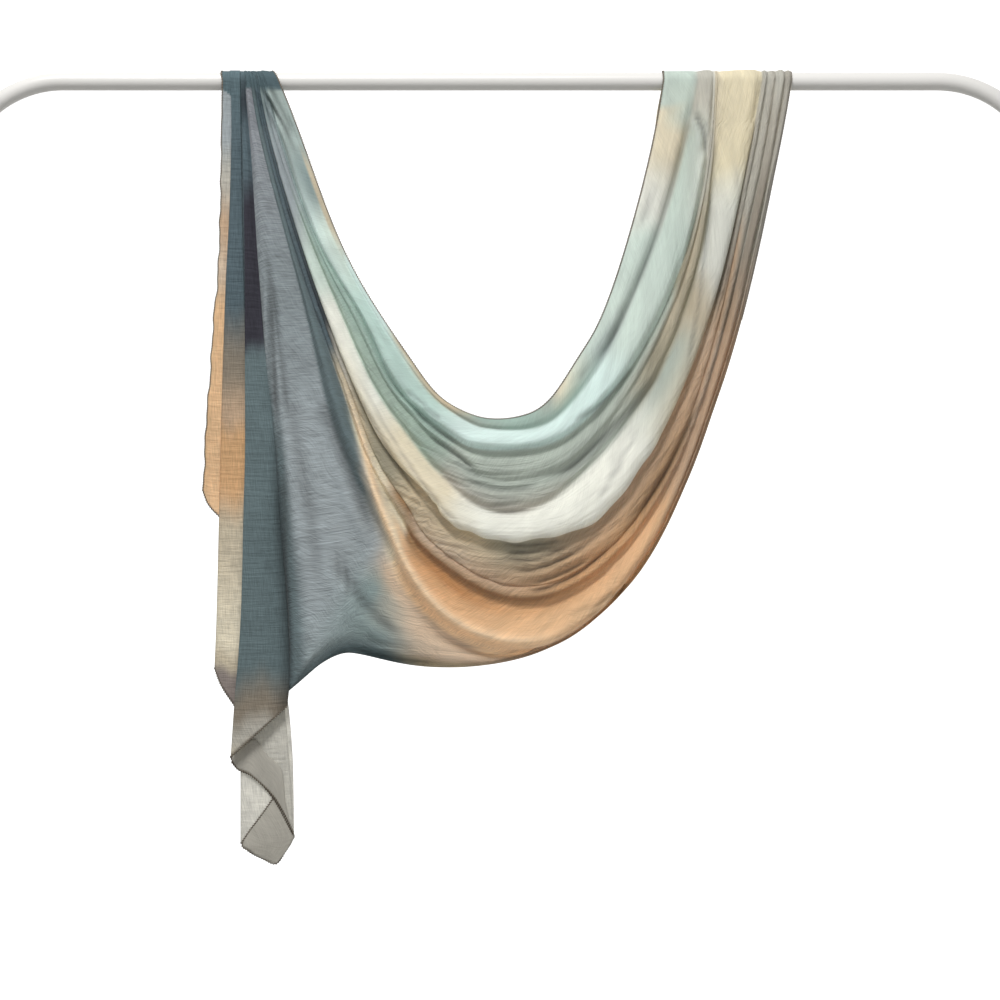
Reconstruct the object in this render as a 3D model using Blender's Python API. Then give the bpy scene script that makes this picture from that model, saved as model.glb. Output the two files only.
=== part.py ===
"""A long sheer headscarf hung in one deep swag over a bent tube rail.

Metres, +Z up. The origin is on the rail's axis, half way along it, and the front of the scarf faces -Y.
The tables are in millimetres: x and z are places seen from the front, and "front" is how far a layer
stands in front of the rail's axis.
"""

from collections import namedtuple

import bpy
import numpy as np

# Driving dimensions, in metres
MM = 0.001
RAIL_RADIUS = 0.009
RAIL_STRAIGHT = 0.880
RAIL_BEND_RADIUS = 0.110
RAIL_POST = 0.040
WALL = 0.0010
THIN_WALL = 0.0010
SEAM = 0.0003
STANDS = 10.8  # mm: the middle of the wall where it lies on the rail
RAIL_GAP = 0.4  # mm: how far below the rail's axis the hanging pieces start

# How finely the sheets are cut
WRAP_STEPS = 10

# The top hem of the swag, from rail to rail. slant is the direction, in degrees, in which the folds are
# crossed there, full is how much of their depth they have, stand is how far the cloth is in front, and
# columns is how many columns of the sheet lead to the next station.
Station = namedtuple("Station", "x z slant full stand columns")
STATIONS = [
    Station(-222, -RAIL_GAP, 180.0, 0.10, STANDS, 2),
    Station(-199, -59, 192.0, 0.22, 11.5, 3),
    Station(-163, -156, 199.0, 0.40, 12.5, 3),
    Station(-124, -229, 208.0, 0.60, 13.5, 2),
    Station(-89, -281, 218.0, 0.80, 14.5, 2),
    Station(-62, -316, 229.0, 0.90, 15.0, 2),
    Station(-35, -333, 237.7, 1.00, 15.5, 5),
    Station(-16, -339, 240.5, 1.00, 16.0, 2),
    Station(2, -340, 252.0, 1.00, 16.0, 4),
    Station(25, -336, 270.0, 1.00, 16.0, 5),
    Station(51, -319, 292.0, 1.00, 16.0, 5),
    Station(78, -279, 312.0, 0.90, 15.0, 4),
    Station(101, -239, 328.0, 0.80, 14.0, 4),
    Station(127, -164, 345.0, 0.60, 13.0, 4),
    Station(151, -72, 353.0, 0.40, 12.0, 3),
    Station(164, -RAIL_GAP, 360.0, 0.12, STANDS, 0),
]

# The folds of the swag, from its top hem down. crest is how far the roll above the crease stands out, tuck
# how far back the crease lies, lap how far the roll hangs over it, and steps how many rows of the sheet it
# takes. at has the crease's distance from the top hem at each station.
Fold = namedtuple("Fold", "name crest tuck lap steps at")
FOLDS = [
    Fold("hem_strip", 1, 5, 0, 3, (3, 4, 4, 4, 5, 4, 6, 9, 10, 14, 19, 22, 22, 27, 31, 33)),
    Fold("mint_roll", 12, 5, 0, 5, (14, 19, 20, 17, 27, 24, 27, 32, 32, 33, 40, 48, 51, 59, 57, 50)),
    Fold("sage_step", 3, 4, 2, 4, (16, 22, 23, 25, 34, 34, 41, 47, 60, 65, 66, 65, 62, 65, 60, 52)),
    Fold("grey_step", 2, 5, 0, 4, (18, 26, 27, 34, 45, 48, 62, 72, 88, 95, 80, 79, 76, 74, 63, 54)),
    Fold("white_roll", 17, 6, 7, 6, (20, 30, 37, 50, 65, 76, 86, 99, 118, 125, 128, 116, 104, 100, 97, 99)),
    Fold("beige_step", 4, 6, 4, 4, (22, 33, 40, 54, 71, 90, 109, 128, 149, 171, 160, 138, 119, 107, 102, 104)),
    Fold("tan_roll", 6, 5, 0, 4, (25, 36, 45, 59, 78, 99, 122, 141, 162, 186, 172, 147, 126, 115, 112, 112)),
    Fold("orange_roll", 15, 5, 0, 6, (28, 40, 50, 72, 101, 123, 155, 180, 214, 233, 199, 160, 136, 125, 121, 122)),
    Fold("panel", 7, 5, 0, 9, (33, 52, 84, 124, 171, 235, 330, 270, 260, 242, 204, 164, 140, 130, 126, 128)),
]
LONG_CREASE = 6  # the folds above it are the upper piece of the swag, and the others the lower one
CORNER = 6  # the station whose crossing ends at the panel's lowest corner
# Right of that corner the panel's edge rises fast: (place among the stations, distance from the top hem)
PANEL_DROP = ((6, 330), (6.12, 313), (6.3, 294), (6.6, 280), (7, 270))

# Where a fold's section is pinned, as shares of its width and of its crest or tuck
RISE = (0.18, 0.42, 0.74)
HEIGHT = (-0.90, 0.85, 1.10)
LIP_HEIGHT = 0.45
SHALLOW = 0.38  # no fold is deeper than this share of its width, once LEVEL mm are taken off
LEVEL = 4.0
ROWS_PAST_CREASE = 2  # the seam lies on the rising side of the fold below the long crease
NARROWEST = 1.6  # mm
SEAM_ROOM = 1.8  # a seam in the swag is cut this much wider, for its edges twist
SHARPEST = 4.0  # the tangent of half the sharpest bend that a seam makes room for
LAP_ROOM, LIP_ROOM = 0.2, 0.08  # a lap takes at most this share of its fold or the next, and a lip of the next
LAPS_FROM, LAPS_AT = 0.35, 0.75  # a fold starts to hang over, and hangs over fully, at this share of its depth

# The hanging ends. left and right are the edges at each height, and front is how far the layer stands out.
Row = namedtuple("Row", "z left right front")
OUTER_FLAP = [
    Row(-RAIL_GAP, -278, -270.2, 10.8),
    Row(-41, -279, -268.5, 8.2),
    Row(-121, -280.5, -266, 5.2),
    Row(-201, -283.5, -266, 4.6),
    Row(-233, -287, -266, 4.5),
    Row(-297, -291, -266, 4.5),
    Row(-345, -295, -266, 4.5),
    Row(-392, -297, -266, 4.5),
    Row(-411, -298, -266, 4.5),
]
CREAM_FOLD = [
    Row(-RAIL_GAP, -269, -261, 12.0),
    Row(-41, -269, -259.8, 11.2),
    Row(-121, -271, -258.8, 8.8),
    Row(-201, -275, -257, 8.2),
    Row(-301, -278.5, -254, 8.0),
    Row(-441, -282, -252, 8.0),
    Row(-541, -284.5, -252, 7.8),
    Row(-589, -286.5, -253, 7.6),
]
TAIL_UPPER = [
    Row(-RAIL_GAP, -267, -262, 10.3),
    Row(-41, -265, -256, 8.2),
    Row(-121, -264, -251, 5.0),
    Row(-221, -264, -243, 4.0),
    Row(-361, -264, -232, 3.0),
    Row(-481, -264, -224, 3.0),
    Row(-561, -263, -219, 3.0),
    Row(-621, -262, -213, 3.0),
    Row(-652, -263, -209.5, 3.0),
    Row(-684, -270, -208, 3.0),
]
TAIL_LOWER = [
    Row(-560, -258, -222, 1.6),
    Row(-650, -259, -210.5, 1.6),
    Row(-693, -261, -208, 1.6),
    Row(-765, -261, -207, 1.6),
]
BACK_TAIL = [
    Row(-RAIL_GAP, 164, 290, -STANDS),
    Row(-46, 157, 280, -9.8),
    Row(-72, 157, 274, -8.8),
    Row(-121, 160, 265, -8.0),
    Row(-171, 168, 254, -7.5),
    Row(-221, 178, 238, -7.0),
    Row(-245, 185, 232, -7.0),
]
# The lower ends of the hanging pieces, as (x, z) along the hem
FLAP_END = [(-298, -411), (-293, -425), (-281, -438), (-266, -450)]
CREAM_END = [(-286.5, -589), (-281, -604), (-267, -626), (-253, -645)]
UPPER_END = [(-270, -684), (-263, -692), (-251, -697), (-229, -719), (-208, -757)]
LOWER_END = [(-261, -765), (-253, -774), (-238, -782), (-226, -787), (-215, -773), (-207, -757)]
BACK_END = [(185, -232), (208, -246), (232, -251)]

# The left edge of the front strip, whose right edge is the panel's
STRIP_EDGE = namedtuple("STRIP_EDGE", "z x")
STRIP_LEFT = [
    STRIP_EDGE(-RAIL_GAP, -259.5),
    STRIP_EDGE(-60, -258),
    STRIP_EDGE(-121, -256.4),
    STRIP_EDGE(-221, -255.5),
    STRIP_EDGE(-361, -255.5),
    STRIP_EDGE(-441, -257.5),
    STRIP_EDGE(-521, -259.5),
    STRIP_EDGE(-581, -263),
    STRIP_EDGE(-612, -266),
]
STRIP_END_LEFT = (-270.5, -679)
STRIP_END_RIGHT = (-213, -627)
STRIP_FRONT = 13.5
STRIP_SHARES = (0, 0.04, 0.14, 0.35, 0.6, 0.85, 1)
TURN_BACK, TURN_IN = 2.4, 1.2  # mm: how far the strip's folded edge turns back, and in

# The hidden loop behind the rail, which joins the swag's left end to the hanging one
LOOP_MIDDLE = -250
LOOP_INNER = (5, 6)
LOOP_OUTER = (27, 46)

# Finishes: colour, roughness, metallic
FINISHES = {
    "painted_steel": ((0.86, 0.86, 0.85), 0.30, 0.0),
    "mint_cloth": ((0.55, 0.72, 0.66), 0.85, 0.0),
    "slate_cloth": ((0.22, 0.27, 0.28), 0.85, 0.0),
    "orange_cloth": ((0.75, 0.45, 0.20), 0.85, 0.0),
    "cream_cloth": ((0.72, 0.62, 0.45), 0.85, 0.0),
    "grey_cloth": ((0.50, 0.50, 0.46), 0.85, 0.0),
}


def finish(name):
    """The material of this name, made when it is first asked for."""
    if name in bpy.data.materials:
        return bpy.data.materials[name]
    colour, roughness, metallic = FINISHES[name]
    material = bpy.data.materials.new(name)
    material.use_nodes = True
    shader = material.node_tree.nodes["Principled BSDF"]
    shader.inputs["Base Color"].default_value = (*colour, 1.0)
    shader.inputs["Roughness"].default_value = roughness
    shader.inputs["Metallic"].default_value = metallic
    return material


def smooth(knots, values, at):
    """Values of a smooth curve through the knots, which never swings past them (a monotone cubic)."""
    knots, values = np.asarray(knots, float), np.asarray(values, float)
    step = np.diff(knots)
    slope = np.diff(values) / step
    inner = np.zeros(len(knots) - 2)
    same = slope[:-1] * slope[1:] > 0
    inner[same] = 2 * slope[:-1][same] * slope[1:][same] / (slope[:-1] + slope[1:])[same]
    tangent = np.concatenate([[slope[0]], inner, [slope[-1]]])
    at = np.asarray(at, float)
    k = np.clip(np.searchsorted(knots, at, side="right") - 1, 0, len(step) - 1)
    t = (at - knots[k]) / step[k]
    start, end = values[k], values[k + 1]
    lead, trail = tangent[k] * step[k], tangent[k + 1] * step[k]
    return (
        start * (2 * t**3 - 3 * t**2 + 1)
        + lead * (t**3 - 2 * t**2 + t)
        + end * (3 * t**2 - 2 * t**3)
        + trail * (t**3 - t**2)
    )


def rounded(pins, at):
    """Points at these places along the cubic B-spline that the pins steer, which starts and ends on them."""
    pins = np.concatenate([pins[:1] * 2 - pins[1:2], pins, pins[-1:] * 2 - pins[-2:-1]])
    k = np.clip(np.floor(at).astype(int), 0, len(pins) - 4)
    t = (at - k)[:, None]
    a, b, c, d = (pins[k + i] for i in range(4))
    return (
        a * (1 - t) ** 3 + b * (3 * t**3 - 6 * t**2 + 4) + c * (3 * t**2 + 3 * t + 1 - 3 * t**3) + d * t**3
    ) / 6


def through(values, at):
    """Values at these places of the smoothest curve through evenly spaced ones, made with `rounded`."""
    count = len(values)
    steers = (np.eye(count) * 4 + np.eye(count, k=1) + np.eye(count, k=-1)) / 6
    steers[[0, -1]] = np.eye(count)[[0, -1]]
    pins = np.linalg.solve(steers, np.asarray(values, float))
    return rounded(pins[:, None], at)[:, 0]


def fold_pins(widths, full):
    """The pins of the swag's section: (distance from the hem, how far forward), all of one station."""
    pins = [(0.0, -FOLDS[0].tuck * full * 0.6)]
    start, tuck_before = 0.0, min(FOLDS[0].tuck * full * 0.6, SHALLOW * (widths[0] - LEVEL))
    for fold, end, room in zip(FOLDS, widths, [*np.diff(widths), widths[-1]]):
        width = end - start
        deepest = SHALLOW * max(width - LEVEL, 0)
        crest = min(fold.crest * full, deepest)
        tuck = min(fold.tuck * full, deepest, SHALLOW * max(2 * room - LEVEL, 0))
        lap = fold.lap * np.clip((full - LAPS_FROM) / (LAPS_AT - LAPS_FROM), 0, 1)
        lap = min(lap, LAP_ROOM * width, LAP_ROOM * room)
        heights = (HEIGHT[0] * tuck_before, HEIGHT[1] * crest, HEIGHT[2] * crest)
        pins += [(start + rise * width, height) for rise, height in zip(RISE, heights)]
        if lap > 0:
            pins.append((end + min(((1 - RISE[2]) * width + lap) / 4, LIP_ROOM * room), LIP_HEIGHT * crest))
        else:
            pins.append((end - RISE[0] * width, LIP_HEIGHT * crest - tuck * 0.5))
        pins.append((end - lap, -tuck))
        start, tuck_before = end, tuck
    return np.array(pins)


def panel_distance(columns):
    """How far the panel's edge is from the top hem: two smooth curves that meet in its lowest corner."""
    at = FOLDS[-1].at
    left = smooth(range(CORNER + 1), at[: CORNER + 1], np.minimum(columns, CORNER))
    knots, drops = zip(*PANEL_DROP)
    knots, drops = (*knots, *range(CORNER + 2, len(at))), (*drops, *at[CORNER + 2 :])
    return np.where(columns < CORNER, left, smooth(knots, drops, np.maximum(columns, CORNER)))


def swag_points(columns, rows):
    """Points of the swag for these places along its stations and these places down its section."""
    x, z, slant, full, stand, _ = (through(values, columns) for values in zip(*STATIONS))
    distances = np.array([*(through(fold.at, columns) for fold in FOLDS[:-1]), panel_distance(columns)])
    for nearer, farther in zip(distances[:-1], distances[1:]):
        farther[:] = np.maximum(farther, nearer + NARROWEST)
    points = []
    for i in range(len(columns)):
        section = rounded(fold_pins(distances[:, i], full[i]), rows)
        angle = np.radians(slant[i])
        points.append(
            np.stack(
                [
                    x[i] + np.cos(angle) * section[:, 0],
                    -(stand[i] + section[:, 1]),
                    z[i] + np.sin(angle) * section[:, 0],
                ],
                axis=1,
            )
        )
    return np.array(points) * MM


def swag_rows():
    """Places down the section, with how many of them come before the long crease."""
    pins_a_fold = len(RISE) + 2
    rows = [pins_a_fold * (i + j / fold.steps) for i, fold in enumerate(FOLDS) for j in range(fold.steps)]
    before = sum(fold.steps for fold in FOLDS[:LONG_CREASE])
    return np.array([*rows, pins_a_fold * len(FOLDS)]), before + ROWS_PAST_CREASE


def unit(ways):
    return ways / np.linalg.norm(ways, axis=1)[:, None]


def drawn_back(edge, inner, beyond):
    """An edge moved back from its seam towards its own cloth, and further where the cloth bends at the seam."""
    own, other = unit(inner - edge), unit(beyond - edge)
    cosine = -np.sum(own * other, axis=1)
    bend = np.sqrt((1 - cosine) / np.maximum(1 + cosine, 1e-6))
    return edge + own * (SEAM_ROOM * SEAM / 2 + WALL / 2 * np.minimum(bend, SHARPEST))[:, None]


def sheet(name, points, finish_name, wall=WALL):
    """A cloth wall over a grid of points, whose front is the side that its columns and rows turn to."""
    columns, rows = points.shape[:2]
    faces = [
        (i * rows + j, i * rows + j + 1, (i + 1) * rows + j + 1, (i + 1) * rows + j)
        for i in range(columns - 1)
        for j in range(rows - 1)
    ]
    mesh = bpy.data.meshes.new(name)
    mesh.from_pydata(points.reshape(-1, 3).tolist(), [], faces)
    mesh.shade_smooth()
    mesh.materials.append(finish(finish_name))
    cloth = bpy.data.objects.new(name, mesh)
    bpy.context.scene.collection.objects.link(cloth)
    thickness = cloth.modifiers.new("wall", "SOLIDIFY")
    thickness.thickness = wall
    thickness.offset = 0
    return cloth


def hanging(table, end, rows, columns, bow, hook):
    """Points of a hanging piece. bow is how far its middle stands out, and hook how far its left edge turns back."""
    z = np.array([row.z for row in table])
    heights = z[0] + (z[-1] - z[0]) * np.linspace(0, 1, rows)
    left, right, front = (
        smooth(-z, [getattr(row, key) for row in table], -heights) for key in ("left", "right", "front")
    )
    lowest = np.array([place[1] for place in end])
    along = (np.array([place[0] for place in end]) - end[0][0]) / (end[-1][0] - end[0][0])
    points = []
    for share in np.linspace(0, 1, columns):
        drop = smooth(along, lowest, [share])[0] - z[-1]
        late = np.clip((np.linspace(0, 1, rows) - 0.6) / 0.4, 0, 1) ** 1.5
        easing = np.clip((z[0] - heights) / 120, 0, 1)
        out = bow * np.sin(np.pi * share) - hook * (1 - min(share * 5, 1)) ** 2
        points.append(
            np.stack([left + (right - left) * share, -(front + out * easing), heights + drop * late], axis=1)
        )
    return np.array(points) * MM


def front_strip(panel_edge):
    """The strip in front, from its folded left edge to the valley where the panel starts."""
    right = panel_edge / MM
    left_z = np.array([edge.z for edge in STRIP_LEFT])
    left = smooth(-left_z, [edge.x for edge in STRIP_LEFT], np.minimum(-right[:, 2], -left_z[-1]))
    rows = [((x, r[2]), (r[0], r[2]), -r[1]) for x, r in zip(left, right)]
    for share in (1 / 3, 2 / 3, 1):
        ends = []
        for x, (end_x, end_z) in ((left[-1], STRIP_END_LEFT), (right[-1, 0], STRIP_END_RIGHT)):
            ends.append((x + (end_x - x) * share, right[-1, 2] + (end_z - right[-1, 2]) * share))
        rows.append((*ends, -right[-1, 1]))
    points = []
    for share in STRIP_SHARES:
        column = []
        for i, (a, b, valley) in enumerate(rows):
            ease = min(i / 4, 1)
            body = STANDS + (STRIP_FRONT - STANDS) * ease
            front = valley + (body - valley) * np.sin(np.pi / 2 * min((1 - share) * 1.8, 1)) ** 2
            inset = 0
            if share == 0:
                front -= TURN_BACK * ease
                inset = TURN_IN * ease
            column.append((a[0] + (b[0] - a[0]) * share + inset, -front, a[1] + (b[1] - a[1]) * share))
        points.append(column)
    return np.array(points) * MM


def over_rail(edge):
    """Points that carry this edge of cloth from the rail's front over its top to its back."""
    turn = np.linspace(0, np.pi, WRAP_STEPS + 1)
    radius = -edge[:, 1]
    around = [np.stack([edge[:, 0], -radius * np.cos(a), radius * np.sin(a)], axis=1) for a in turn]
    return np.array(around)


def left_edge_on_rail():
    """The front edge of the bunched cloth on the rail's left: x and how far it stands out."""
    heights = ((-278, 10.8), (-273, 11.2), (-269.5, 11.2), (-268, 12.0), (-260, 12.2), (-256, 11.6))
    heights += ((-252, 10.8), (-248, 11.4), (-244, 10.8), (-240, 11.2), (-234, 11.4), (-228, 11.2), (-222, 10.8))
    return np.array([(x, -front, 0) for x, front in heights]) * MM


def loop_points():
    """The small loop behind the rail: arcs of cloth, one inside the other."""
    points = []
    for share in np.linspace(0, 1, 7):
        across = LOOP_INNER[0] + (LOOP_OUTER[0] - LOOP_INNER[0]) * share
        down = LOOP_INNER[1] + (LOOP_OUTER[1] - LOOP_INNER[1]) * share
        turn = np.linspace(np.pi, 2 * np.pi, 13)
        ripple = 1.2 * np.cos(np.pi * 6 * share) * np.sin(turn) ** 2
        points.append(
            np.stack(
                [
                    LOOP_MIDDLE + across * np.cos(turn),
                    STANDS + ripple,
                    -RAIL_GAP + down * np.sin(turn),
                ],
                axis=1,
            )
        )
    return np.array(points)[::-1] * MM


def rail():
    """The rail: a straight tube with a quarter bend and a short post at each end, closed at its ends."""
    half, bend = RAIL_STRAIGHT / 2, RAIL_BEND_RADIUS
    turn = np.linspace(0, np.pi / 2, 9)
    right = [(half + bend * np.sin(a), -bend * (1 - np.cos(a))) for a in turn]
    right.append((half + bend, -bend - RAIL_POST))
    route = [(-x, z) for x, z in reversed(right)] + right
    curve = bpy.data.curves.new("rail", "CURVE")
    curve.dimensions = "3D"
    curve.bevel_depth = RAIL_RADIUS
    curve.bevel_resolution = 4
    curve.use_fill_caps = True
    line = curve.splines.new("POLY")
    line.points.add(len(route) - 1)
    for point, (x, z) in zip(line.points, route):
        point.co = (x, 0, z, 1)
    curve.materials.append(finish("painted_steel"))
    tube = bpy.data.objects.new("rail", curve)
    bpy.context.scene.collection.objects.link(tube)
    return tube


def build():
    for old in list(bpy.data.objects):
        bpy.data.objects.remove(old, do_unlink=True)
    rail()

    places = [i + j / station.columns for i, station in enumerate(STATIONS) for j in range(station.columns)]
    places = np.array([*places, len(STATIONS) - 1])
    rows, crease = swag_rows()
    swag = swag_points(places, rows)
    beside_strip = slice(0, sum(s.columns for s in STATIONS[:CORNER]) + 1)
    strip = front_strip(swag[beside_strip, -1])
    upper, lower = swag[:, : crease + 1].copy(), swag[:, crease:].copy()
    upper[:, -1] = drawn_back(swag[:, crease], swag[:, crease - 1], swag[:, crease + 1])
    lower[:, 0] = drawn_back(swag[:, crease], swag[:, crease + 1], swag[:, crease - 1])
    edge, panel, beyond = swag[beside_strip, -1], swag[beside_strip, -2], strip[-2, : beside_strip.stop]
    lower[beside_strip, -1] = drawn_back(edge, panel, beyond)
    strip[-1, : beside_strip.stop] = drawn_back(edge, beyond, panel)
    strip[-1, beside_strip.stop :, 0] -= SEAM
    sheet("swag_upper", upper, "mint_cloth")
    sheet("swag_lower", lower, "grey_cloth")
    sheet("front_strip", strip[::-1], "slate_cloth")

    sheet("outer_flap", hanging(OUTER_FLAP, FLAP_END, 20, 5, 0.5, 0)[::-1], "orange_cloth")
    sheet("cream_fold", hanging(CREAM_FOLD, CREAM_END, 24, 6, 0.6, 1.2)[::-1], "cream_cloth")
    sheet("tail_upper", hanging(TAIL_UPPER, UPPER_END, 26, 7, 0, 0)[::-1], "grey_cloth", THIN_WALL)
    sheet("tail_lower", hanging(TAIL_LOWER, LOWER_END, 12, 7, 0, 0)[::-1], "grey_cloth", THIN_WALL)

    sheet("left_wrap", over_rail(left_edge_on_rail()), "slate_cloth", WALL)
    sheet("right_wrap", over_rail(swag[-1, ::2] * (1, 1, 0)), "mint_cloth")
    sheet("back_loop", loop_points(), "slate_cloth")
    sheet("back_tail", hanging(BACK_TAIL, BACK_END, 14, 9, -1.5, 0), "grey_cloth")


build()
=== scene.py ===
# %% [markdown]
# # A sheer dyed headscarf hung over a tube rail
#
# On the real thing one long piece of light slub voile is thrown over a garment rail: a deep swag of soft
# folds in the middle, a gathered end hanging at the left, and a short end behind the rail at the right.
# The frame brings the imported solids, which carry size and collision. This lesson dresses them: each
# stretch of cloth is rebuilt as a much finer sheet on the same form, dyed point by point, and hemmed.

# %% Load the frame
import math
from collections import namedtuple

import bpy
import numpy as np
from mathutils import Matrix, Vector


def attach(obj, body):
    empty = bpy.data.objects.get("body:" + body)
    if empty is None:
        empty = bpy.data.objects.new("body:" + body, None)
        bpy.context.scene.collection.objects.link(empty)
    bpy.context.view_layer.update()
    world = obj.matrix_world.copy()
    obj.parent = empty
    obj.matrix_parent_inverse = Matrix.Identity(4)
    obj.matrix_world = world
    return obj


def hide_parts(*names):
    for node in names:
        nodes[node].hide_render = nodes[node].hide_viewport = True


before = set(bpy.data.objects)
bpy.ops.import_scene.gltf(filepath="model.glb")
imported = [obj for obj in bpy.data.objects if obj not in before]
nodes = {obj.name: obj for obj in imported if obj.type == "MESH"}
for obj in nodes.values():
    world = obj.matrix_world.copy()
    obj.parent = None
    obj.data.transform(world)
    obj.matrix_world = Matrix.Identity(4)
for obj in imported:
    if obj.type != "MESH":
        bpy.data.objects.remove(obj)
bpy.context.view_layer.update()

MM = 0.001
print("nodes:", sorted(nodes))


# %% [markdown]
# ## Camera, stage and light
#
# The scarf is seen square on, from far enough away that its folds don't lean. A long lens at 2.4 m gives
# that. The backdrop is a white sweep that glows a little, because light from behind is what shows how
# sheer the cloth is. A wide soft light above and in front then brightens the top of every fold.

# %% Camera
LENS_MM, SENSOR_MM = 85, 36
FRAME_WIDTH = 1.0  # metres that the picture shows at the cloth
FRAME_CENTRE = (0.0, -0.015, -0.421)


def new_object(name, data):
    """An object made of this data, in the scene."""
    made = bpy.data.objects.new(name, data)
    bpy.context.scene.collection.objects.link(made)
    return made


def make_camera():
    data = bpy.data.cameras.new("camera")
    data.lens, data.sensor_width = LENS_MM, SENSOR_MM
    camera = new_object("camera", data)
    distance = FRAME_WIDTH * LENS_MM / SENSOR_MM
    x, y, z = FRAME_CENTRE
    camera.location = (x, y - distance, z)
    camera.rotation_euler = (math.pi / 2, 0, 0)
    bpy.context.scene.camera = camera
    print("camera stands", round(distance, 3), "m in front")


make_camera()


# %% Colours and nodes
NOISE_LOW, NOISE_HIGH = 0.3, 0.7  # between these lies nearly all of what a noise node gives


def linear(code):
    """The linear colour of an sRGB hex code."""
    parts = [int(code[i : i + 2], 16) / 255 for i in (1, 3, 5)]
    return tuple(p / 12.92 if p <= 0.04045 else ((p + 0.055) / 1.055) ** 2.4 for p in parts)


def add(tree, kind, settings=(), **inputs):
    """A new shader node with its settings, and each input linked from a socket or set to a value."""
    made = tree.nodes.new("ShaderNode" + kind)
    for key, value in dict(settings).items():
        setattr(made, key, value)
    for key, value in inputs.items():
        numbered = key[0] == "i" and key[1:].isdigit()
        socket = made.inputs[int(key[1:]) if numbered else key.replace("_", " ")]
        if isinstance(value, bpy.types.NodeSocket):
            tree.links.new(value, socket)
        else:
            socket.default_value = value
    return made


def maths(tree, operation, *values):
    """The result of a math node for these values or sockets."""
    inputs = {f"i{number}": value for number, value in enumerate(values)}
    return add(tree, "Math", {"operation": operation}, **inputs).outputs[0]


def spread(tree, value, low, high):
    """A noise value spread from low to high."""
    return add(tree, "MapRange", Value=value, From_Min=NOISE_LOW, From_Max=NOISE_HIGH,
               To_Min=low, To_Max=high).outputs[0]


def times(tree, colour, amount):
    """A colour made lighter or darker by this amount."""
    return add(tree, "VectorMath", {"operation": "SCALE"}, i0=colour, Scale=amount).outputs[0]


def new_material(name):
    material = bpy.data.materials.new(name)
    material.use_nodes = True
    material.node_tree.nodes.clear()
    return material, material.node_tree


# %% Stage
SWEEP_WIDTH, SWEEP_FRONT, SWEEP_BACK = 16.0, -5.0, 3.4
FLOOR_Z, WALL_TOP, SWEEP_BEND = -2.30, 4.6, 0.7
BACK_GLOW, GLOW_STARTS, GLOW_FULL = 0.95, 0.1, 0.4  # its strength, and metres above the floor
BEND_STEPS = 13


def sweep_paper():
    """White paper. The upright part glows, as paper does with lamps behind it, and the floor doesn't."""
    material, tree = new_material("white_paper_sweep")
    place = add(tree, "TexCoord").outputs["Object"]
    height = add(tree, "SeparateXYZ", Vector=place).outputs["Z"]
    glow = add(tree, "MapRange", Value=height, From_Min=FLOOR_Z + GLOW_STARTS,
               From_Max=FLOOR_Z + GLOW_FULL, To_Min=0.0, To_Max=BACK_GLOW).outputs[0]
    shader = add(tree, "BsdfPrincipled", Base_Color=(*linear("#cfcfcd"), 1), Roughness=0.9,
                 Emission_Color=(1, 1, 1, 1), Emission_Strength=glow)
    add(tree, "OutputMaterial", Surface=shader.outputs[0])
    return material


def make_stage():
    side = [(SWEEP_FRONT, FLOOR_Z)]
    for turn in np.linspace(0, math.pi / 2, BEND_STEPS):
        back = SWEEP_BACK - SWEEP_BEND + SWEEP_BEND * math.sin(turn)
        side.append((back, FLOOR_Z + SWEEP_BEND * (1 - math.cos(turn))))
    side.append((SWEEP_BACK, WALL_TOP))
    points = [(x, y, z) for x in (-SWEEP_WIDTH / 2, SWEEP_WIDTH / 2) for y, z in side]
    count = len(side)
    mesh = bpy.data.meshes.new("sweep")
    mesh.from_pydata(points, [], [(i, i + 1, count + i + 1, count + i) for i in range(count - 1)])
    mesh.shade_smooth()
    mesh.materials.append(sweep_paper())
    sweep = new_object("sweep", mesh)


make_stage()


# %% Lights
Lamp = namedtuple("Lamp", "name place aim size power")
LAMPS = [
    Lamp("key", (-0.5, -1.6, 2.0), (0, 0, -0.35), 0.9, 77),
    Lamp("front_fill", (1.3, -2.6, 0.1), (0, 0, -0.4), 2.0, 6),
]
WORLD_STRENGTH = 0.285


def make_lights():
    for lamp in LAMPS:
        data = bpy.data.lights.new(lamp.name, "AREA")
        data.shape, data.size, data.energy = "DISK", lamp.size, lamp.power
        light = new_object(lamp.name, data)
        light.location = lamp.place
        way = Vector(lamp.aim) - Vector(lamp.place)
        light.rotation_euler = way.to_track_quat("-Z", "Y").to_euler()
    world = bpy.data.worlds.new("soft_room")
    world.use_nodes = True
    background = world.node_tree.nodes["Background"]
    background.inputs["Color"].default_value = (1, 1, 1, 1)
    background.inputs["Strength"].default_value = WORLD_STRENGTH
    bpy.context.scene.world = world
    bpy.context.scene.view_settings.view_transform = "Standard"


make_lights()


# %% [markdown]
# ## The rail
#
# The rail is drawn steel tube, bent at both ends and sprayed with gloss white paint. A poly curve with a
# round bevel gives a true tube, and the paint's slight orange peel is a very low bump.

# %% Rail
RAIL_RADIUS, RAIL_STRAIGHT, RAIL_BEND, RAIL_POST = 9, 880, 110, 40  # mm, as on the solids
RAIL_BEND_STEPS, RAIL_SIDES = 33, 10
PEEL_MM, PEEL_DEPTH, PEEL_STRENGTH = 3.0, 0.0002, 0.04  # the orange peel's size, metres deep, and strength


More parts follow.
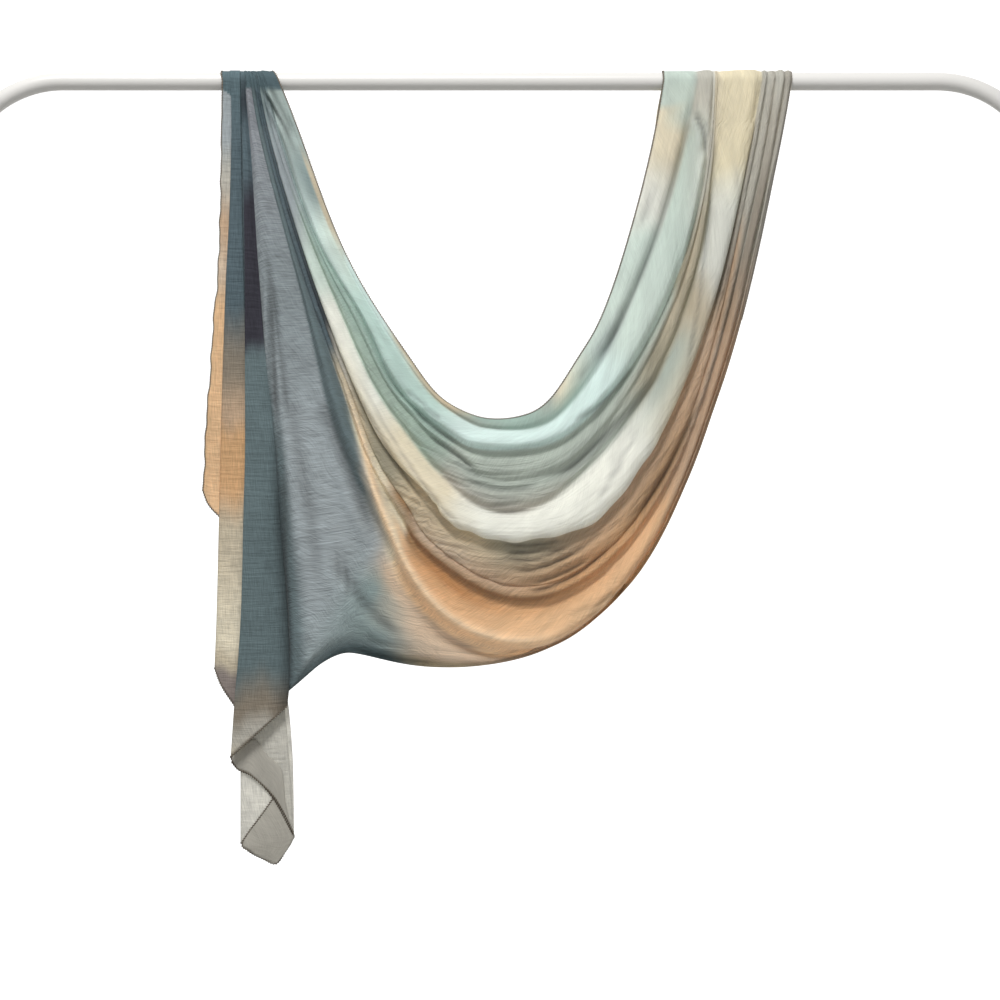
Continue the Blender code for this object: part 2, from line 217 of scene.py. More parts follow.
def white_paint():
    """Gloss white spray paint on steel: a bright base under a clear, slightly rippled skin."""
    material, tree = new_material("white_spray_paint")
    place = add(tree, "TexCoord").outputs["Object"]
    ripple = add(tree, "TexNoise", Vector=place, Scale=1 / (PEEL_MM * MM), Detail=2.0)
    bump = add(tree, "Bump", Height=ripple.outputs[0], Strength=PEEL_STRENGTH, Distance=PEEL_DEPTH)
    shader = add(tree, "BsdfPrincipled", Base_Color=(*linear("#dfddd9"), 1), Roughness=0.28,
                 IOR=1.5, Normal=bump.outputs[0])
    add(tree, "OutputMaterial", Surface=shader.outputs[0])
    return material


def tube(name, line, radius, material, sides):
    """A closed tube along a line of points, in millimetres."""
    curve = bpy.data.curves.new(name, "CURVE")
    curve.dimensions, curve.bevel_depth, curve.bevel_resolution = "3D", radius * MM, sides
    curve.use_fill_caps = True
    spline = curve.splines.new("POLY")
    spline.points.add(len(line) - 1)
    flat = np.concatenate([line * MM, np.ones((len(line), 1))], axis=1)
    spline.points.foreach_set("co", flat.reshape(-1))
    curve.materials.append(material)
    return new_object(name, curve)


def rail_line():
    """The rail's axis: up the left post's end, round its bend, along, and down at the right."""
    half = RAIL_STRAIGHT / 2
    turn = np.linspace(0, math.pi / 2, RAIL_BEND_STEPS)
    right = [(half + RAIL_BEND * math.sin(a), 0, -RAIL_BEND * (1 - math.cos(a))) for a in turn]
    right.append((half + RAIL_BEND, 0, -RAIL_BEND - RAIL_POST))
    return np.array([(-x, y, z) for x, y, z in reversed(right)] + right)


rail = tube("rail_tube", rail_line(), RAIL_RADIUS, white_paint(), RAIL_SIDES)
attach(rail, "root")
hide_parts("rail")
print("rail:", RAIL_STRAIGHT + 2 * (RAIL_BEND + RAIL_RADIUS), "mm wide")


# %% [markdown]
# ## The form of the swag
#
# The swag hangs like a fan: its top hem runs from rail to rail, and the folds cross it at a slant that
# turns from left, through straight down, to right. So its tables give the hem at sixteen stations with
# that slant, and the distance of every crease from the hem there. They are the solids' own sizes in
# millimetres, but the orange roll's edge is a few lower here. A B-spline then rounds each fold.

# %% Tables of the swag
RAIL_GAP, STANDS = 0.4, 10.8
Station = namedtuple("Station", "x z slant full stand")
STATIONS = [Station(*row) for row in (
    (-222, -RAIL_GAP, 180.0, 0.12, STANDS),
    (-199, -59, 192.0, 0.30, 11.5),
    (-163, -156, 199.0, 0.50, 12.5),
    (-124, -229, 208.0, 0.65, 13.5),
    (-89, -281, 218.0, 0.80, 14.5),
    (-62, -316, 229.0, 0.90, 15.0),
    (-35, -333, 237.7, 1.00, 15.5),
    (-16, -339, 240.5, 1.00, 16.0),
    (2, -340, 252.0, 1.00, 16.0),
    (25, -336, 270.0, 1.00, 16.0),
    (51, -319, 292.0, 1.00, 16.0),
    (78, -279, 312.0, 0.90, 15.0),
    (101, -239, 328.0, 0.80, 14.0),
    (127, -164, 345.0, 0.60, 13.0),
    (151, -72, 353.0, 0.45, 12.0),
    (164, -RAIL_GAP, 360.0, 0.20, STANDS),
)]
# Each fold's height, the crease after it, how far it laps, where its crest is, its grid rows, and its end
# at every station
Fold = namedtuple("Fold", "name crest tuck lap peak steps at")
FOLDS = [Fold(*row) for row in (
    ("hem_strip", 1, 2, 0, 1.0, 6, (3, 4, 4, 4, 5, 4, 6, 9, 10, 14, 19, 22, 22, 27, 31, 33)),
    ("mint_roll", 11, 4, 0, 1.12, 14, (14, 19, 20, 17, 27, 24, 27, 32, 32, 33, 40, 48, 51, 59, 57, 50)),
    ("sage_step", 3, 2, 0, 1.0, 18, (16, 22, 23, 25, 34, 34, 41, 47, 60, 65, 66, 65, 62, 65, 60, 52)),
    ("grey_step", 2, 3, 0, 1.0, 18, (18, 26, 27, 34, 45, 48, 62, 72, 88, 95, 80, 79, 76, 74, 63, 54)),
    ("white_roll", 14, 5, 4, 1.12, 18,
     (20, 30, 37, 50, 65, 76, 86, 99, 118, 125, 128, 116, 104, 100, 97, 99)),
    ("beige_step", 3, 2, 1, 1.0, 26,
     (22, 33, 40, 54, 71, 90, 109, 128, 149, 171, 160, 138, 119, 107, 102, 104)),
    ("tan_roll", 4, 4, 0, 1.0, 12,
     (25, 36, 45, 59, 78, 99, 122, 141, 162, 186, 172, 147, 126, 115, 112, 112)),
    ("orange_roll", 13, 5, 0, 1.16, 18,
     (28, 40, 50, 72, 101, 123, 155, 182, 217, 238, 200, 160, 136, 125, 121, 122)),
    ("panel", 7, 5, 0, 1.0, 26,
     (33, 52, 84, 124, 171, 235, 330, 270, 260, 242, 204, 164, 140, 130, 126, 128)),
)]
# The orange roll's crest moves up and down along it: a share of RISE at every station
ORANGE_PEAK = (1, 1, 1, 0.9, 0.75, 0.65, 0.62, 0.72, 1.0, 1.15, 1.16, 1.1, 1, 1, 1, 1)
WHITE_ROLL, WAVY_FROM, WAVY_TO = 4, (6.5, 7.5), (11.5, 10.5)  # its edge is wavy between these stations
EDGE_WAVES = ((1.3, 5.2, 0), (0.9, 12.1, 1))  # mm high, radians a station, and start of each wave
CORNER = 6  # the station whose crossing ends at the panel's lowest corner
# Right of that corner the panel's edge rises fast: (place among the stations, distance from the top hem)
PANEL_DROP = ((6, 330), (6.12, 313), (6.3, 294), (6.6, 280), (7, 270))
COLUMNS_A_STATION = 17
RISE, HEIGHT = (0.16, 0.40, 0.74), (-0.90, 0.85, 1.10)  # the pins of a fold: how far down it, and forward
LIP_HEIGHT, LIP_TUCK, LIP_ROOM = 0.45, 0.5, 0.10  # the pin at its lower lip
SHALLOW, LEVEL, HEM_BACK, NARROWEST = 0.42, 1.0, 0.6, 1.6
LAP_ROOM, LAPS_FROM, LAPS_AT = 0.3, 0.35, 0.75
SOFT_TUCK, FINE_LINE = 2.5, 0.2  # mm: shallower creases than this are fine lines, which dip this share


# %% Curves through the tables
def smooth(knots, values, at):
    """Values of a smooth curve through the knots, which never swings past them (a monotone cubic)."""
    knots, values = np.asarray(knots, float), np.asarray(values, float)
    step = np.diff(knots)
    slope = np.diff(values) / step
    inner = np.zeros(len(knots) - 2)
    same = slope[:-1] * slope[1:] > 0
    inner[same] = 2 * slope[:-1][same] * slope[1:][same] / (slope[:-1] + slope[1:])[same]
    tangent = np.concatenate([[slope[0]], inner, [slope[-1]]])
    at = np.asarray(at, float)
    k = np.clip(np.searchsorted(knots, at, side="right") - 1, 0, len(step) - 1)
    t = (at - knots[k]) / step[k]
    lead, trail = tangent[k] * step[k], tangent[k + 1] * step[k]
    first, last = 2 * t**3 - 3 * t**2 + 1, 3 * t**2 - 2 * t**3
    return values[k] * first + lead * (t**3 - 2 * t**2 + t) + values[k + 1] * last + trail * (t**3 - t**2)


def rounded(pins, at):
    """Points at these places along the cubic B-spline that the pins steer, from the first to the last."""
    pins = np.concatenate([pins[:1] * 2 - pins[1:2], pins, pins[-1:] * 2 - pins[-2:-1]])
    k = np.clip(np.floor(at).astype(int), 0, len(pins) - 4)
    t = (at - k)[:, None]
    a, b, c, d = (pins[k + i] for i in range(4))
    near, far = b * (3 * t**3 - 6 * t**2 + 4), c * (3 * t**2 + 3 * t + 1 - 3 * t**3)
    return (a * (1 - t) ** 3 + near + far + d * t**3) / 6


def through(values, at):
    """Values at these places of the smoothest curve through evenly spaced ones."""
    count = len(values)
    steers = (np.eye(count) * 4 + np.eye(count, k=1) + np.eye(count, k=-1)) / 6
    steers[[0, -1]] = np.eye(count)[[0, -1]]
    pins = np.linalg.solve(steers, np.asarray(values, float))
    return rounded(pins[:, None], at)[:, 0]


def soft_step(edge_from, edge_to, at):
    t = np.clip((at - edge_from) / (edge_to - edge_from), 0, 1)
    return t * t * (3 - 2 * t)


# %% Points of the swag
def fold_pins(widths, full, orange_peak):
    """The pins of the swag's section at one station: distance from the hem, and how far forward."""
    hem_back = FOLDS[0].tuck * full * HEM_BACK
    pins = [(0.0, -hem_back)]
    start, tuck_before = 0.0, min(hem_back, SHALLOW * (widths[0] - LEVEL))
    for fold, end, room in zip(FOLDS, widths, [*np.diff(widths), widths[-1]]):
        width = end - start
        peak = orange_peak if fold.name == "orange_roll" else fold.peak
        deepest = SHALLOW * max(width - LEVEL, 0)
        crest = min(fold.crest * full, deepest)
        tuck = min(fold.tuck * full, deepest)
        lap = fold.lap * np.clip((full - LAPS_FROM) / (LAPS_AT - LAPS_FROM), 0, 1)
        lap = min(lap, LAP_ROOM * width, LAP_ROOM * room)
        dip = tuck_before * (1 if tuck_before > SOFT_TUCK else FINE_LINE)
        heights = (HEIGHT[0] * dip, HEIGHT[1] * crest, HEIGHT[2] * crest)
        pins += [(start + rise * peak * width, height) for rise, height in zip(RISE, heights)]
        if lap > 0:
            pins.append((end + min(((1 - RISE[2]) * width + lap) / 4, LIP_ROOM * room), LIP_HEIGHT * crest))
        else:
            pins.append((end - (1 - RISE[2] * peak) / 2 * width, LIP_HEIGHT * crest - tuck * LIP_TUCK))
        pins.append((end - lap, -tuck))
        start, tuck_before = end, tuck
    return np.array(pins)


def panel_distance(columns):
    """How far the panel's edge is from the top hem: two smooth curves that meet in its lowest corner."""
    at = FOLDS[-1].at
    left = smooth(range(CORNER + 1), at[: CORNER + 1], np.minimum(columns, CORNER))
    knots, drops = zip(*PANEL_DROP)
    knots, drops = (*knots, *range(CORNER + 2, len(at))), (*drops, *at[CORNER + 2 :])
    return np.where(columns < CORNER, left, smooth(knots, drops, np.maximum(columns, CORNER)))


def swag_points(columns, rows):
    """Points of the swag, in millimetres, for these places along its stations and down its section."""
    x, z, slant, full, stand = (through(values, columns) for values in zip(*STATIONS))
    distances = np.array([*(through(fold.at, columns) for fold in FOLDS[:-1]), panel_distance(columns)])
    wavy = soft_step(*WAVY_FROM, columns) * soft_step(*WAVY_TO, columns)
    waves = sum(mm * np.sin(columns * turn + start) for mm, turn, start in EDGE_WAVES)
    distances[WHITE_ROLL] += wavy * waves
    for nearer, farther in zip(distances[:-1], distances[1:]):
        farther[:] = np.maximum(farther, nearer + NARROWEST)
    peaks = through(ORANGE_PEAK, columns)
    points = []
    for i in range(len(columns)):
        section = rounded(fold_pins(distances[:, i], full[i], peaks[i]), rows)
        angle, (down, forward) = math.radians(slant[i]), section.T
        across = np.stack([np.cos(angle) * down, -forward, np.sin(angle) * down], axis=1)
        points.append(across + (x[i], -stand[i], z[i]))
    return np.array(points)


PINS_A_FOLD = len(RISE) + 2
places = np.linspace(0, len(STATIONS) - 1, COLUMNS_A_STATION * (len(STATIONS) - 1) + 1)
fold_places = [i + j / fold.steps for i, fold in enumerate(FOLDS) for j in range(fold.steps)]
fold_places = np.array([*fold_places, len(FOLDS)])
swag = swag_points(places, fold_places * PINS_A_FOLD)
print("swag grid:", swag.shape)


# %% [markdown]
# ## Creases placed one by one
#
# Between the main folds real voile has many smaller troughs: fans that spread from the bunched left end,
# ripples under the white roll, gathers at the lower right. Each is one row here: how deep it is (less than
# nothing makes a ridge), how wide, and the x and z of its line. The cloth is pushed back softly along it,
# and later painted darker along it as shade.

# %% Creases
Crease = namedtuple("Crease", "depth width line")
CREASES = [Crease(depth, width, np.reshape(line, (-1, 2))) for depth, width, *line in (
    # the wide panel at the left
    (3.2, 7, -186, -306, -167, -353, -150, -395, -136, -430, -122, -462),
    (2.4, 7, -170, -465, -155, -495, -138, -523, -115, -545, -92, -562),
    (-2.2, 14, -232, -240, -215, -340, -205, -430, -200, -500),
    (3.0, 6, -217, -380, -217, -450, -216, -540, -213, -610),
    (1.6, 4, -236, -150, -226, -230, -216, -300, -206, -360),
    (-1.6, 3.5, -236, -200, -234, -270, -233, -351),
    (2.0, 4.5, -229, -200, -226, -280, -224, -351),
    (1.2, 9, -218, -290, -198, -380, -186, -450, -178, -520),
    (-1.6, 10, -170, -330, -152, -400, -135, -455, -112, -510),
    (1.5, 5, -205, -608, -185, -592, -165, -580, -150, -574),
    (1.3, 3, -150, -569, -120, -577, -85, -582, -50, -584),
    (1.0, 4, -140, -558, -110, -566, -80, -573),
    # thin pleats of the bunched left end
    (2.2, 2.5, -241, -5, -236, -13, -231, -20, -221, -38, -212, -55, -200, -84),
    (-1.4, 2.3, -238, -8, -233, -15, -228, -22, -218, -40, -209, -57),
    (1.6, 2.4, -233, -5, -226, -16, -214, -38, -203, -62),
    # the fans under the mint roll
    (1.4, 2.7, -96, -310, -82, -321, -70, -329),
    (1.4, 2.7, -78, -327, -66, -336, -58, -341),
    (1.5, 2.7, -88, -330, -75, -342, -55, -357, -38, -367),
    (-1.2, 2.5, -76, -338, -60, -351, -38, -364, -20, -371),
    (1.3, 2.7, -76, -354, -53, -368, -38, -380, -23, -393),
    (1.0, 2.7, -45, -383, -31, -392, -18, -400),
    (1.6, 4.0, -38, -399, -20, -407, 0, -411, 20, -411, 40, -406),
    (0.9, 2.7, -50, -399, -25, -414, 0, -420, 25, -418),
    (0.8, 2.7, -12, -425, 8, -426, 24, -422),
    (0.8, 2.7, -10, -433, 10, -433, 30, -430),
    # ripples below the white roll
    (1.8, 2.7, -2, -464, 22, -468, 46, -465, 66, -460),
    (1.9, 2.7, 2, -472, 26, -474, 42, -471, 58, -466),
    (2.0, 2.7, -4, -479, 18, -482, 36, -481, 55, -473, 73, -466),
    (2.6, 2.8, 4, -491, 26, -493, 44, -488, 62, -481, 82, -470, 104, -452),
    (2.0, 2.8, 30, -504, 50, -500, 72, -490, 92, -477),
    (2.2, 3.0, 20, -514, 46, -511, 70, -500, 94, -483, 116, -462),
    # the valley beside the top hem at the right, and the double line under the cream roll at the left
    (2.4, 4.0, 197, 0, 182, -76, 153, -171, 117, -249, 93, -295),
    (1.2, 2.0, -155, -291, -129, -341, -100, -391, -68, -435, -35, -468),
    (1.0, 2.0, -150, -283, -121, -336, -90, -388, -58, -430, -25, -462),
    # gathers at the lower right
    (1.6, 2.6, 98, -527, 105, -519, 111, -513),
    (1.6, 2.6, 91, -534, 98, -526, 105, -519),
    (2.2, 3.0, 110, -522, 119, -514, 129, -506),
    (1.0, 4.0, 64, -541, 78, -533, 90, -525),
    # the long line in the white roll at the right, and those beside it
    (1.0, 3.0, 144, -342, 124, -376, 107, -406, 89, -434),
    (1.2, 2.6, 138, -282, 118, -307, 96, -331, 68, -345),
    (1.8, 5.0, 160, -287, 144, -315, 124, -339, 96, -367, 68, -394, 40, -405),
    (1.0, 2.7, 124, -241, 107, -263, 89, -289, 70, -306),
    (1.4, 3.0, 198, -311, 194, -339, 180, -367, 163, -399, 146, -423, 130, -448),
    (-1.2, 3.0, 205, -60, 196, -110, 185, -170, 172, -230),
    (1.3, 2.4, 216, -80, 206, -170, 197, -240, 185, -300),
    # the pinch in the pleat at the right, under the rail
    (2.6, 3.4, 192, -32, 202, -45, 206, -60, 205, -78),
    (1.5, 3.0, 152, -96, 148, -120, 140, -150),
)]


# The long ridge between the panel and the orange roll, later painted paler: partly paler dye, partly a
# painted highlight
PALE_LINE = ((-158, -285), (-148, -330), (-138, -361), (-125, -412), (-109, -457), (-89, -494), (-66, -526),
             (-36, -549), (10, -564), (62, -560), (100, -545))
PALE_RIDGE = Crease(-3.4, 5.5, PALE_LINE)


# %% Pushing the cloth
DEEPEN, REACH, CREASE_ENDS = 2.1, 4, 0.25  # more depth for all, reach in widths, and fade at both ends
SHOULDER, SHOULDER_HEIGHT, SHOULDER_WIDTH = 1.7, 0.6, 1.2  # the small rise below a crease, in its widths
SUNK_WIDTH, SUNK_DEPTH = 0.7, 2  # the band painted along each line, as shade in a crease and as highlight on the long ridge: a share of the width, and full from this many mm
LINE_STEPS = 4


def push_creases(points, creases):
    """Pushes the points back along each crease, most on its line, and a little forward just below it.
    Returns how close to such a line each point is, from 0 to 1, which is the mask for the painted shade
    along creases and the painted highlight on the long ridge."""
    flat = points.reshape(-1, 3)
    painted_line_mask = np.zeros(len(flat))
    for crease in creases:
        line = np.array(crease.line, float)
        line = rounded(line, np.linspace(0, len(line) - 1, LINE_STEPS * len(line)))
        share = np.linspace(0, 1, len(line))
        front, reach = flat[:, [0, 2]], REACH * crease.width
        near = np.all((front > line.min(0) - reach) & (front < line.max(0) + reach), axis=1)
        spots = front[near]
        best, along, side = np.full(len(spots), 1e9), np.zeros(len(spots)), np.zeros(len(spots))
        for a, b, s, t in zip(line[:-1], line[1:], share[:-1], share[1:]):
            way = (b - a) / np.linalg.norm(b - a)
            k = np.clip(((spots - a) @ way) / np.linalg.norm(b - a), 0, 1)
            off = spots - a - k[:, None] * (b - a)
            away = np.linalg.norm(off, axis=1)
            closer = away < best
            along = np.where(closer, s + (t - s) * k, along)
            side = np.where(closer, off @ (way[1], -way[0]), side)
            best = np.minimum(best, away)
        fade = soft_step(0, CREASE_ENDS, along) * soft_step(0, CREASE_ENDS, 1 - along)
        beside = np.sign(side) * best - SHOULDER * crease.width
        shoulder = np.exp(-((beside / (SHOULDER_WIDTH * crease.width)) ** 2))
        valley = np.exp(-((best / crease.width) ** 2)) - SHOULDER_HEIGHT * shoulder
        flat[near, 1] += DEEPEN * crease.depth * fade * valley
        line_share = np.exp(-((best / (SUNK_WIDTH * crease.width)) ** 2))
        deep = min(abs(crease.depth), SUNK_DEPTH) / SUNK_DEPTH * fade * line_share
        painted_line_mask[near] = np.maximum(painted_line_mask[near], deep)
    return painted_line_mask.reshape(points.shape[:2])


# %% Small wrinkles
RIPPLE_WAVES, SEED, ROUND = 14, 11, 6.28  # round is a whole turn
SPACING_MM, DRIFT, STATIONS_LONG = (5, 13), (-0.45, 0.45), (1.2, 3.0)  # each wave's range of draws
RIPPLE_MM = (0.2, 0.25, 0.5, 0.8, 0.3, 1.2, 0.9, 0.4, 0.35)  # how deep the small wrinkles of each fold are


def push_ripples(points, columns, rows):
    """Adds small wrinkles that run along the folds, each with its own spacing, drift and length."""
    away = np.linalg.norm(points[..., [0, 2]] - points[:, :1, [0, 2]], axis=2)
    draw = np.random.default_rng(SEED)
    wave = np.zeros(away.shape)
    for _ in range(RIPPLE_WAVES):
        spacing, drift, turn, other, length = (
            draw.uniform(*span) for span in (SPACING_MM, DRIFT, (0, ROUND), (0, ROUND), STATIONS_LONG)
        )
        swell = 0.5 + 0.5 * np.sin(columns * ROUND / length + other)[:, None]
        wave += swell * np.cos(ROUND * (away / spacing + drift * columns[:, None]) + turn)
    amount = np.interp(rows, np.arange(len(FOLDS)) + 0.5, RIPPLE_MM)
    points[..., 1] += wave / math.sqrt(RIPPLE_WAVES) * amount


push_ripples(swag, places, fold_places)
painted_line_mask = push_creases(swag, [crease for crease in CREASES if crease.depth > 0])
push_creases(swag, [crease for crease in CREASES if crease.depth < 0])
ridge_highlight_mask = push_creases(swag, [PALE_RIDGE])
# The printed share is how much painted shade the creases lay on the swag.
print("creases:", len(CREASES), "and the cloth lies double over", round(float(painted_line_mask.mean()), 3), "of it")


# %% [markdown]
# ## Dyes
#
# The cloth was dip dyed in soft patches that run into each other. Each dye below has a name. For several
# places down the folds, a row says which dye shows at which station, and each fades into the next.
# Between two folds the change is quick at a crease, where cloth is hidden, and slow on the open panel.
# A few pots also stand for painted shade and painted light, as noted below.

# %% The dye pots
# bunch is partly the layered cloth over the rail and partly painted shade from the rail behind it; valley
# is painted shade; pale_peach is partly pale dye and partly painted light.
DYES = {
    "slate": "#748588", "deep_slate": "#62737a", "grey_slate": "#b0b8bb", "teal_slate": "#98a9a8",
    "aubergine": "#403f48", "lilac_grey": "#a2a5ab", "ink": "#40494f", "bunch": "#667a80",
    "mint": "#e4f2ee", "pale_mint": "#dde8e0", "grey_mint": "#b9c6c2", "sage": "#b4c9bf",
    "moss": "#b7c8bb", "fog": "#c3cbc1", "white": "#f5f5ed", "cream": "#f1e9d4", "straw": "#f7efd6",
    "sand": "#dacfb8", "beige": "#d9caad", "olive": "#b5ae98", "tan": "#d0b598", "brown": "#b59166",
    "rose_beige": "#dac7b0", "peach": "#f8dcb6", "orange": "#e5bb8b", "deep_orange": "#c89560",
    "stone": "#cbc7bc", "warm_grey": "#b0a698", "pale_stone": "#d9d7cd", "mauve": "#a0958f",
    "sea": "#cde1da", "apricot": "#eccaa0", "valley": "#4b5c60", "mid_slate": "#98a1a4",
    "pearl": "#e8e6de", "dun": "#9c9181", "pale_peach": "#ffeacb",
}
POTS = {name: np.array(linear(code)) for name, code in DYES.items()}


# %% Rows of dyes
def row_of(text):
    """The stops of a row of dyes: "0..1 mint, 1.3 sand" is mint from 0 to 1, and sand at 1.3."""
    stops = []
    for entry in text.split(", "):
        span, name = entry.split()
        stops += [(float(place), name) for place in span.split("..")]
    return stops


# Across the swag, as (place, row of dyes by station). A place is a fold's number and how far down that
# fold it is. Several rows end in one of two ways at the right.
Band = namedtuple("Band", "place stops")
TO_STONE = "11.2..12.3 tan, 13.4..15 stone"
TO_PALE_STONE = "11.2..12.3 tan, 13.4 warm_grey, 14.4 stone, 15 pale_stone"
BANDS = [Band(place, row_of(text)) for place, text in (
    (0, "0..1 grey_mint, 1.3..1.9 sand, 2.4..3.2 mint, 3.6..5.2 beige, 7..9 sage, 9.9 fog, 10.3 cream, "
     "11.3..13 pale_mint, 13.4 white, 14.1..14.6 cream, 14.75..15 pale_mint"),
    (0.9, "0..1 grey_mint, 1.3..1.9 sand, 2.4..3.4 mint, 5.2 sand, 6.6 fog, 9..10.5 sage, "
     "11.5 grey_mint, 12.4..13 pale_mint, 13.4 white, 14.1..14.3 cream, 14.5..15 pale_mint"),
    (1.15, "0..1 grey_mint, 1.5 teal_slate, 2 pale_mint, 3..5 sea, 6.2..11 mint, 12.2..14.2 pale_mint, "
     "14.6..15 pale_stone"),
    (1.9, "0..1.2 grey_mint, 1.8 mint, 3..5 sea, 6.2..11 mint, 12.2..13 pale_mint, 14.2 white, "
     "14.6..15 pale_stone"),
    (2.15, "0..1.2 teal_slate, 2.2..5 sage, 7..12.5 fog, 13 olive, 13.6..14 pale_stone, 15 white"),
    (3.15, "0 teal_slate, 1.2 grey_slate, 2.2 sage, 4..5.5 moss, 7..10.5 fog, 12 olive, 13 sand, "
     "14 pale_stone, 15 cream"),
    (3.9, "0 slate, 1.2 grey_slate, 2.2..5.5 moss, 7..9 stone, 10.5 fog, 12..13 olive, 15 cream"),
    (4.2, "0 teal_slate, 1.5 grey_slate, 2.2 pale_mint, 2.8..4 white, 5..7 cream, 8.2..10.5 white, "
     "12 fog, 12.6 sand, 13..13.6 white, 14..15 straw"),
    (4.9, "0 teal_slate, 1.5 grey_slate, 2.2 pale_mint, 2.8 white, 4.2..7 cream, 8.5..10.8 white, "
     "11.6 cream, 12.4 sand, 13..13.6 white, 14..15 straw"),
    (5.15, "0 deep_slate, 2.8 ink, 3.3 stone, 4.2..5.2 olive, 6..8 beige, 9 olive, 10..12 tan, "
     "12.6 rose_beige, 13 warm_grey, 14 stone, 15 pale_stone"),
    (5.9, "0 deep_slate, 2.8 ink, 3.3 stone, 4.2 beige, 5 olive, 6 beige, 8 rose_beige, 8.6 tan, "
     "9.5 orange, 10.8 brown, 12..12.8 tan, 13.3 stone, 15 pale_stone"),
    (6.15, "0..3 deep_slate, 3.6 sand, 5 cream, 5.9 brown, 7 rose_beige, 8.6 tan, 9.6 orange, 11 brown, "
     "12..13 tan, 13.6 stone, 15 pale_stone"),
    (6.9, "0..3.1 deep_slate, 3.7 sand, 5.2 cream, 6 sand, 6.8..9 brown, 10 orange, 11 tan, "
     "12.5 warm_grey, 13.4..15 stone"),
    (7.2, "0..3.8 slate, 4.5 fog, 4.9..6.1 cream, 6.8 brown, 8 deep_orange, 9 orange, 10.3 apricot, "
     + TO_PALE_STONE),
    (7.4, "0..4.3 slate, 5 stone, 5.6 cream, 6.5 peach, 7.4 orange, 9.2..10.5 apricot, " + TO_PALE_STONE),
    (7.6, "0..4.6 slate, 5.2 stone, 5.9 cream, 8..9 peach, 10.2 apricot, " + TO_PALE_STONE),
    # In the next three rows pale_peach at stations 8.8 to 9.8 is partly the cloth's pale dye and partly
    # painted light, lifting the shaded lower side of the orange roll.
    (7.85, "0..5 slate, 5.7 stone, 6.4 cream, 7.4 peach, 8.8..9.6 pale_peach, 10.4 peach, " + TO_STONE),
    (8.06, "0 lilac_grey, 2.4 mid_slate, 4..5.6 grey_slate, 6.9..8.4 rose_beige, 8.9..9.7 pale_peach, "
     "10.4 peach, " + TO_STONE),
    (8.3, "0 lilac_grey, 2.4 mid_slate, 4..5.2 grey_slate, 6.6 teal_slate, 7.9..8.5 rose_beige, "
     "9.1 pale_peach, 9.8 peach, 10.4 apricot, " + TO_STONE),
    (8.6, "0 lilac_grey, 2.4 mid_slate, 4..5.2 grey_slate, 7.2 teal_slate, 8.2 rose_beige, 9.2 tan, "
     "10 orange, " + TO_STONE),
    (8.88, "0 lilac_grey, 2.4..3.2 mid_slate, 4.2..7.4 slate, 8.3 beige, 9 tan, 10 orange, " + TO_STONE),
    # In the next row the valley pot is painted shade, in the valley between the panel and the front strip.
    (9, "0 lilac_grey, 2.4 mid_slate, 3.6 slate, 4.2..5.8 valley, 6.6..7.6 slate, 8.4 beige, 9 tan, "
     "10 orange, " + TO_STONE),
)]


def dye_of(stops, at):
    """The dye at these places along a row of stops."""
    where = [place for place, _ in stops]
    pots = np.array([POTS[name] for _, name in stops])
    k = np.clip(np.searchsorted(where, at, side="right") - 1, 0, len(where) - 2)
    t = soft_step(0, 1, (at - np.take(where, k)) / (np.take(where, k + 1) - np.take(where, k)))
    return pots[k] + (pots[k + 1] - pots[k]) * t[..., None]


WANDER = ((0.08, 3.1, 2.3, 0), (0.04, 7.7, -1.9, 1))  # waves: stations, turns along and down, and start


def swag_dye(columns, rows):
    """The dye of every point of the swag's grid. The patches wander a little, as wet dye does."""
    t, v = np.meshgrid(columns, rows, indexing="ij")
    wander = sum(far * np.sin(along * t + down * v + start) for far, along, down, start in WANDER)
    t = np.clip(t + wander, 0, len(STATIONS) - 1)
    layers = np.array([dye_of(band.stops, t) for band in BANDS])
    edges = np.array([band.place for band in BANDS])
    k = np.clip(np.searchsorted(edges, v, side="right") - 1, 0, len(edges) - 2)
    s = soft_step(0, 1, (v - edges[k]) / (edges[k + 1] - edges[k]))[..., None]
    here, there = np.ogrid[: t.shape[0], : t.shape[1]]
    return layers[k, here, there] * (1 - s) + layers[k + 1, here, there] * s


# %% [markdown]
# ## The cloth's finish
#
# Voile is a plain weave of fine spun threads with slubs, thicker places that show as short streaks along
# the weft. It is matt, scatters light forward through its gaps, and is a little see-through. So the shader
# mixes a rough base with a translucent part and a small open share. Threads 0.35 mm apart are too fine
# for the render, so the slubs are drawn 1.1 mm apart, as coarse as they need to show.

# %% Voile
THREADS_MM, SLUB_MM, SLUB_LONG_MM, CRINKLE_MM, CRINKLE_LONG_MM = 0.8, 1.1, 16, 4, 48
WARP_SHOWS, EVEN = 0.4, 0.70  # the warp shows this much beside the weft, and at this sum the dye is as dyed
PATCH_MM, PATCHY = (38, 30), (0.94, 1.06)  # faint uneven patches: their size, and how dark and light
WEAVE_HEIGHT, BUMP_METRES = 0.05, 0.004


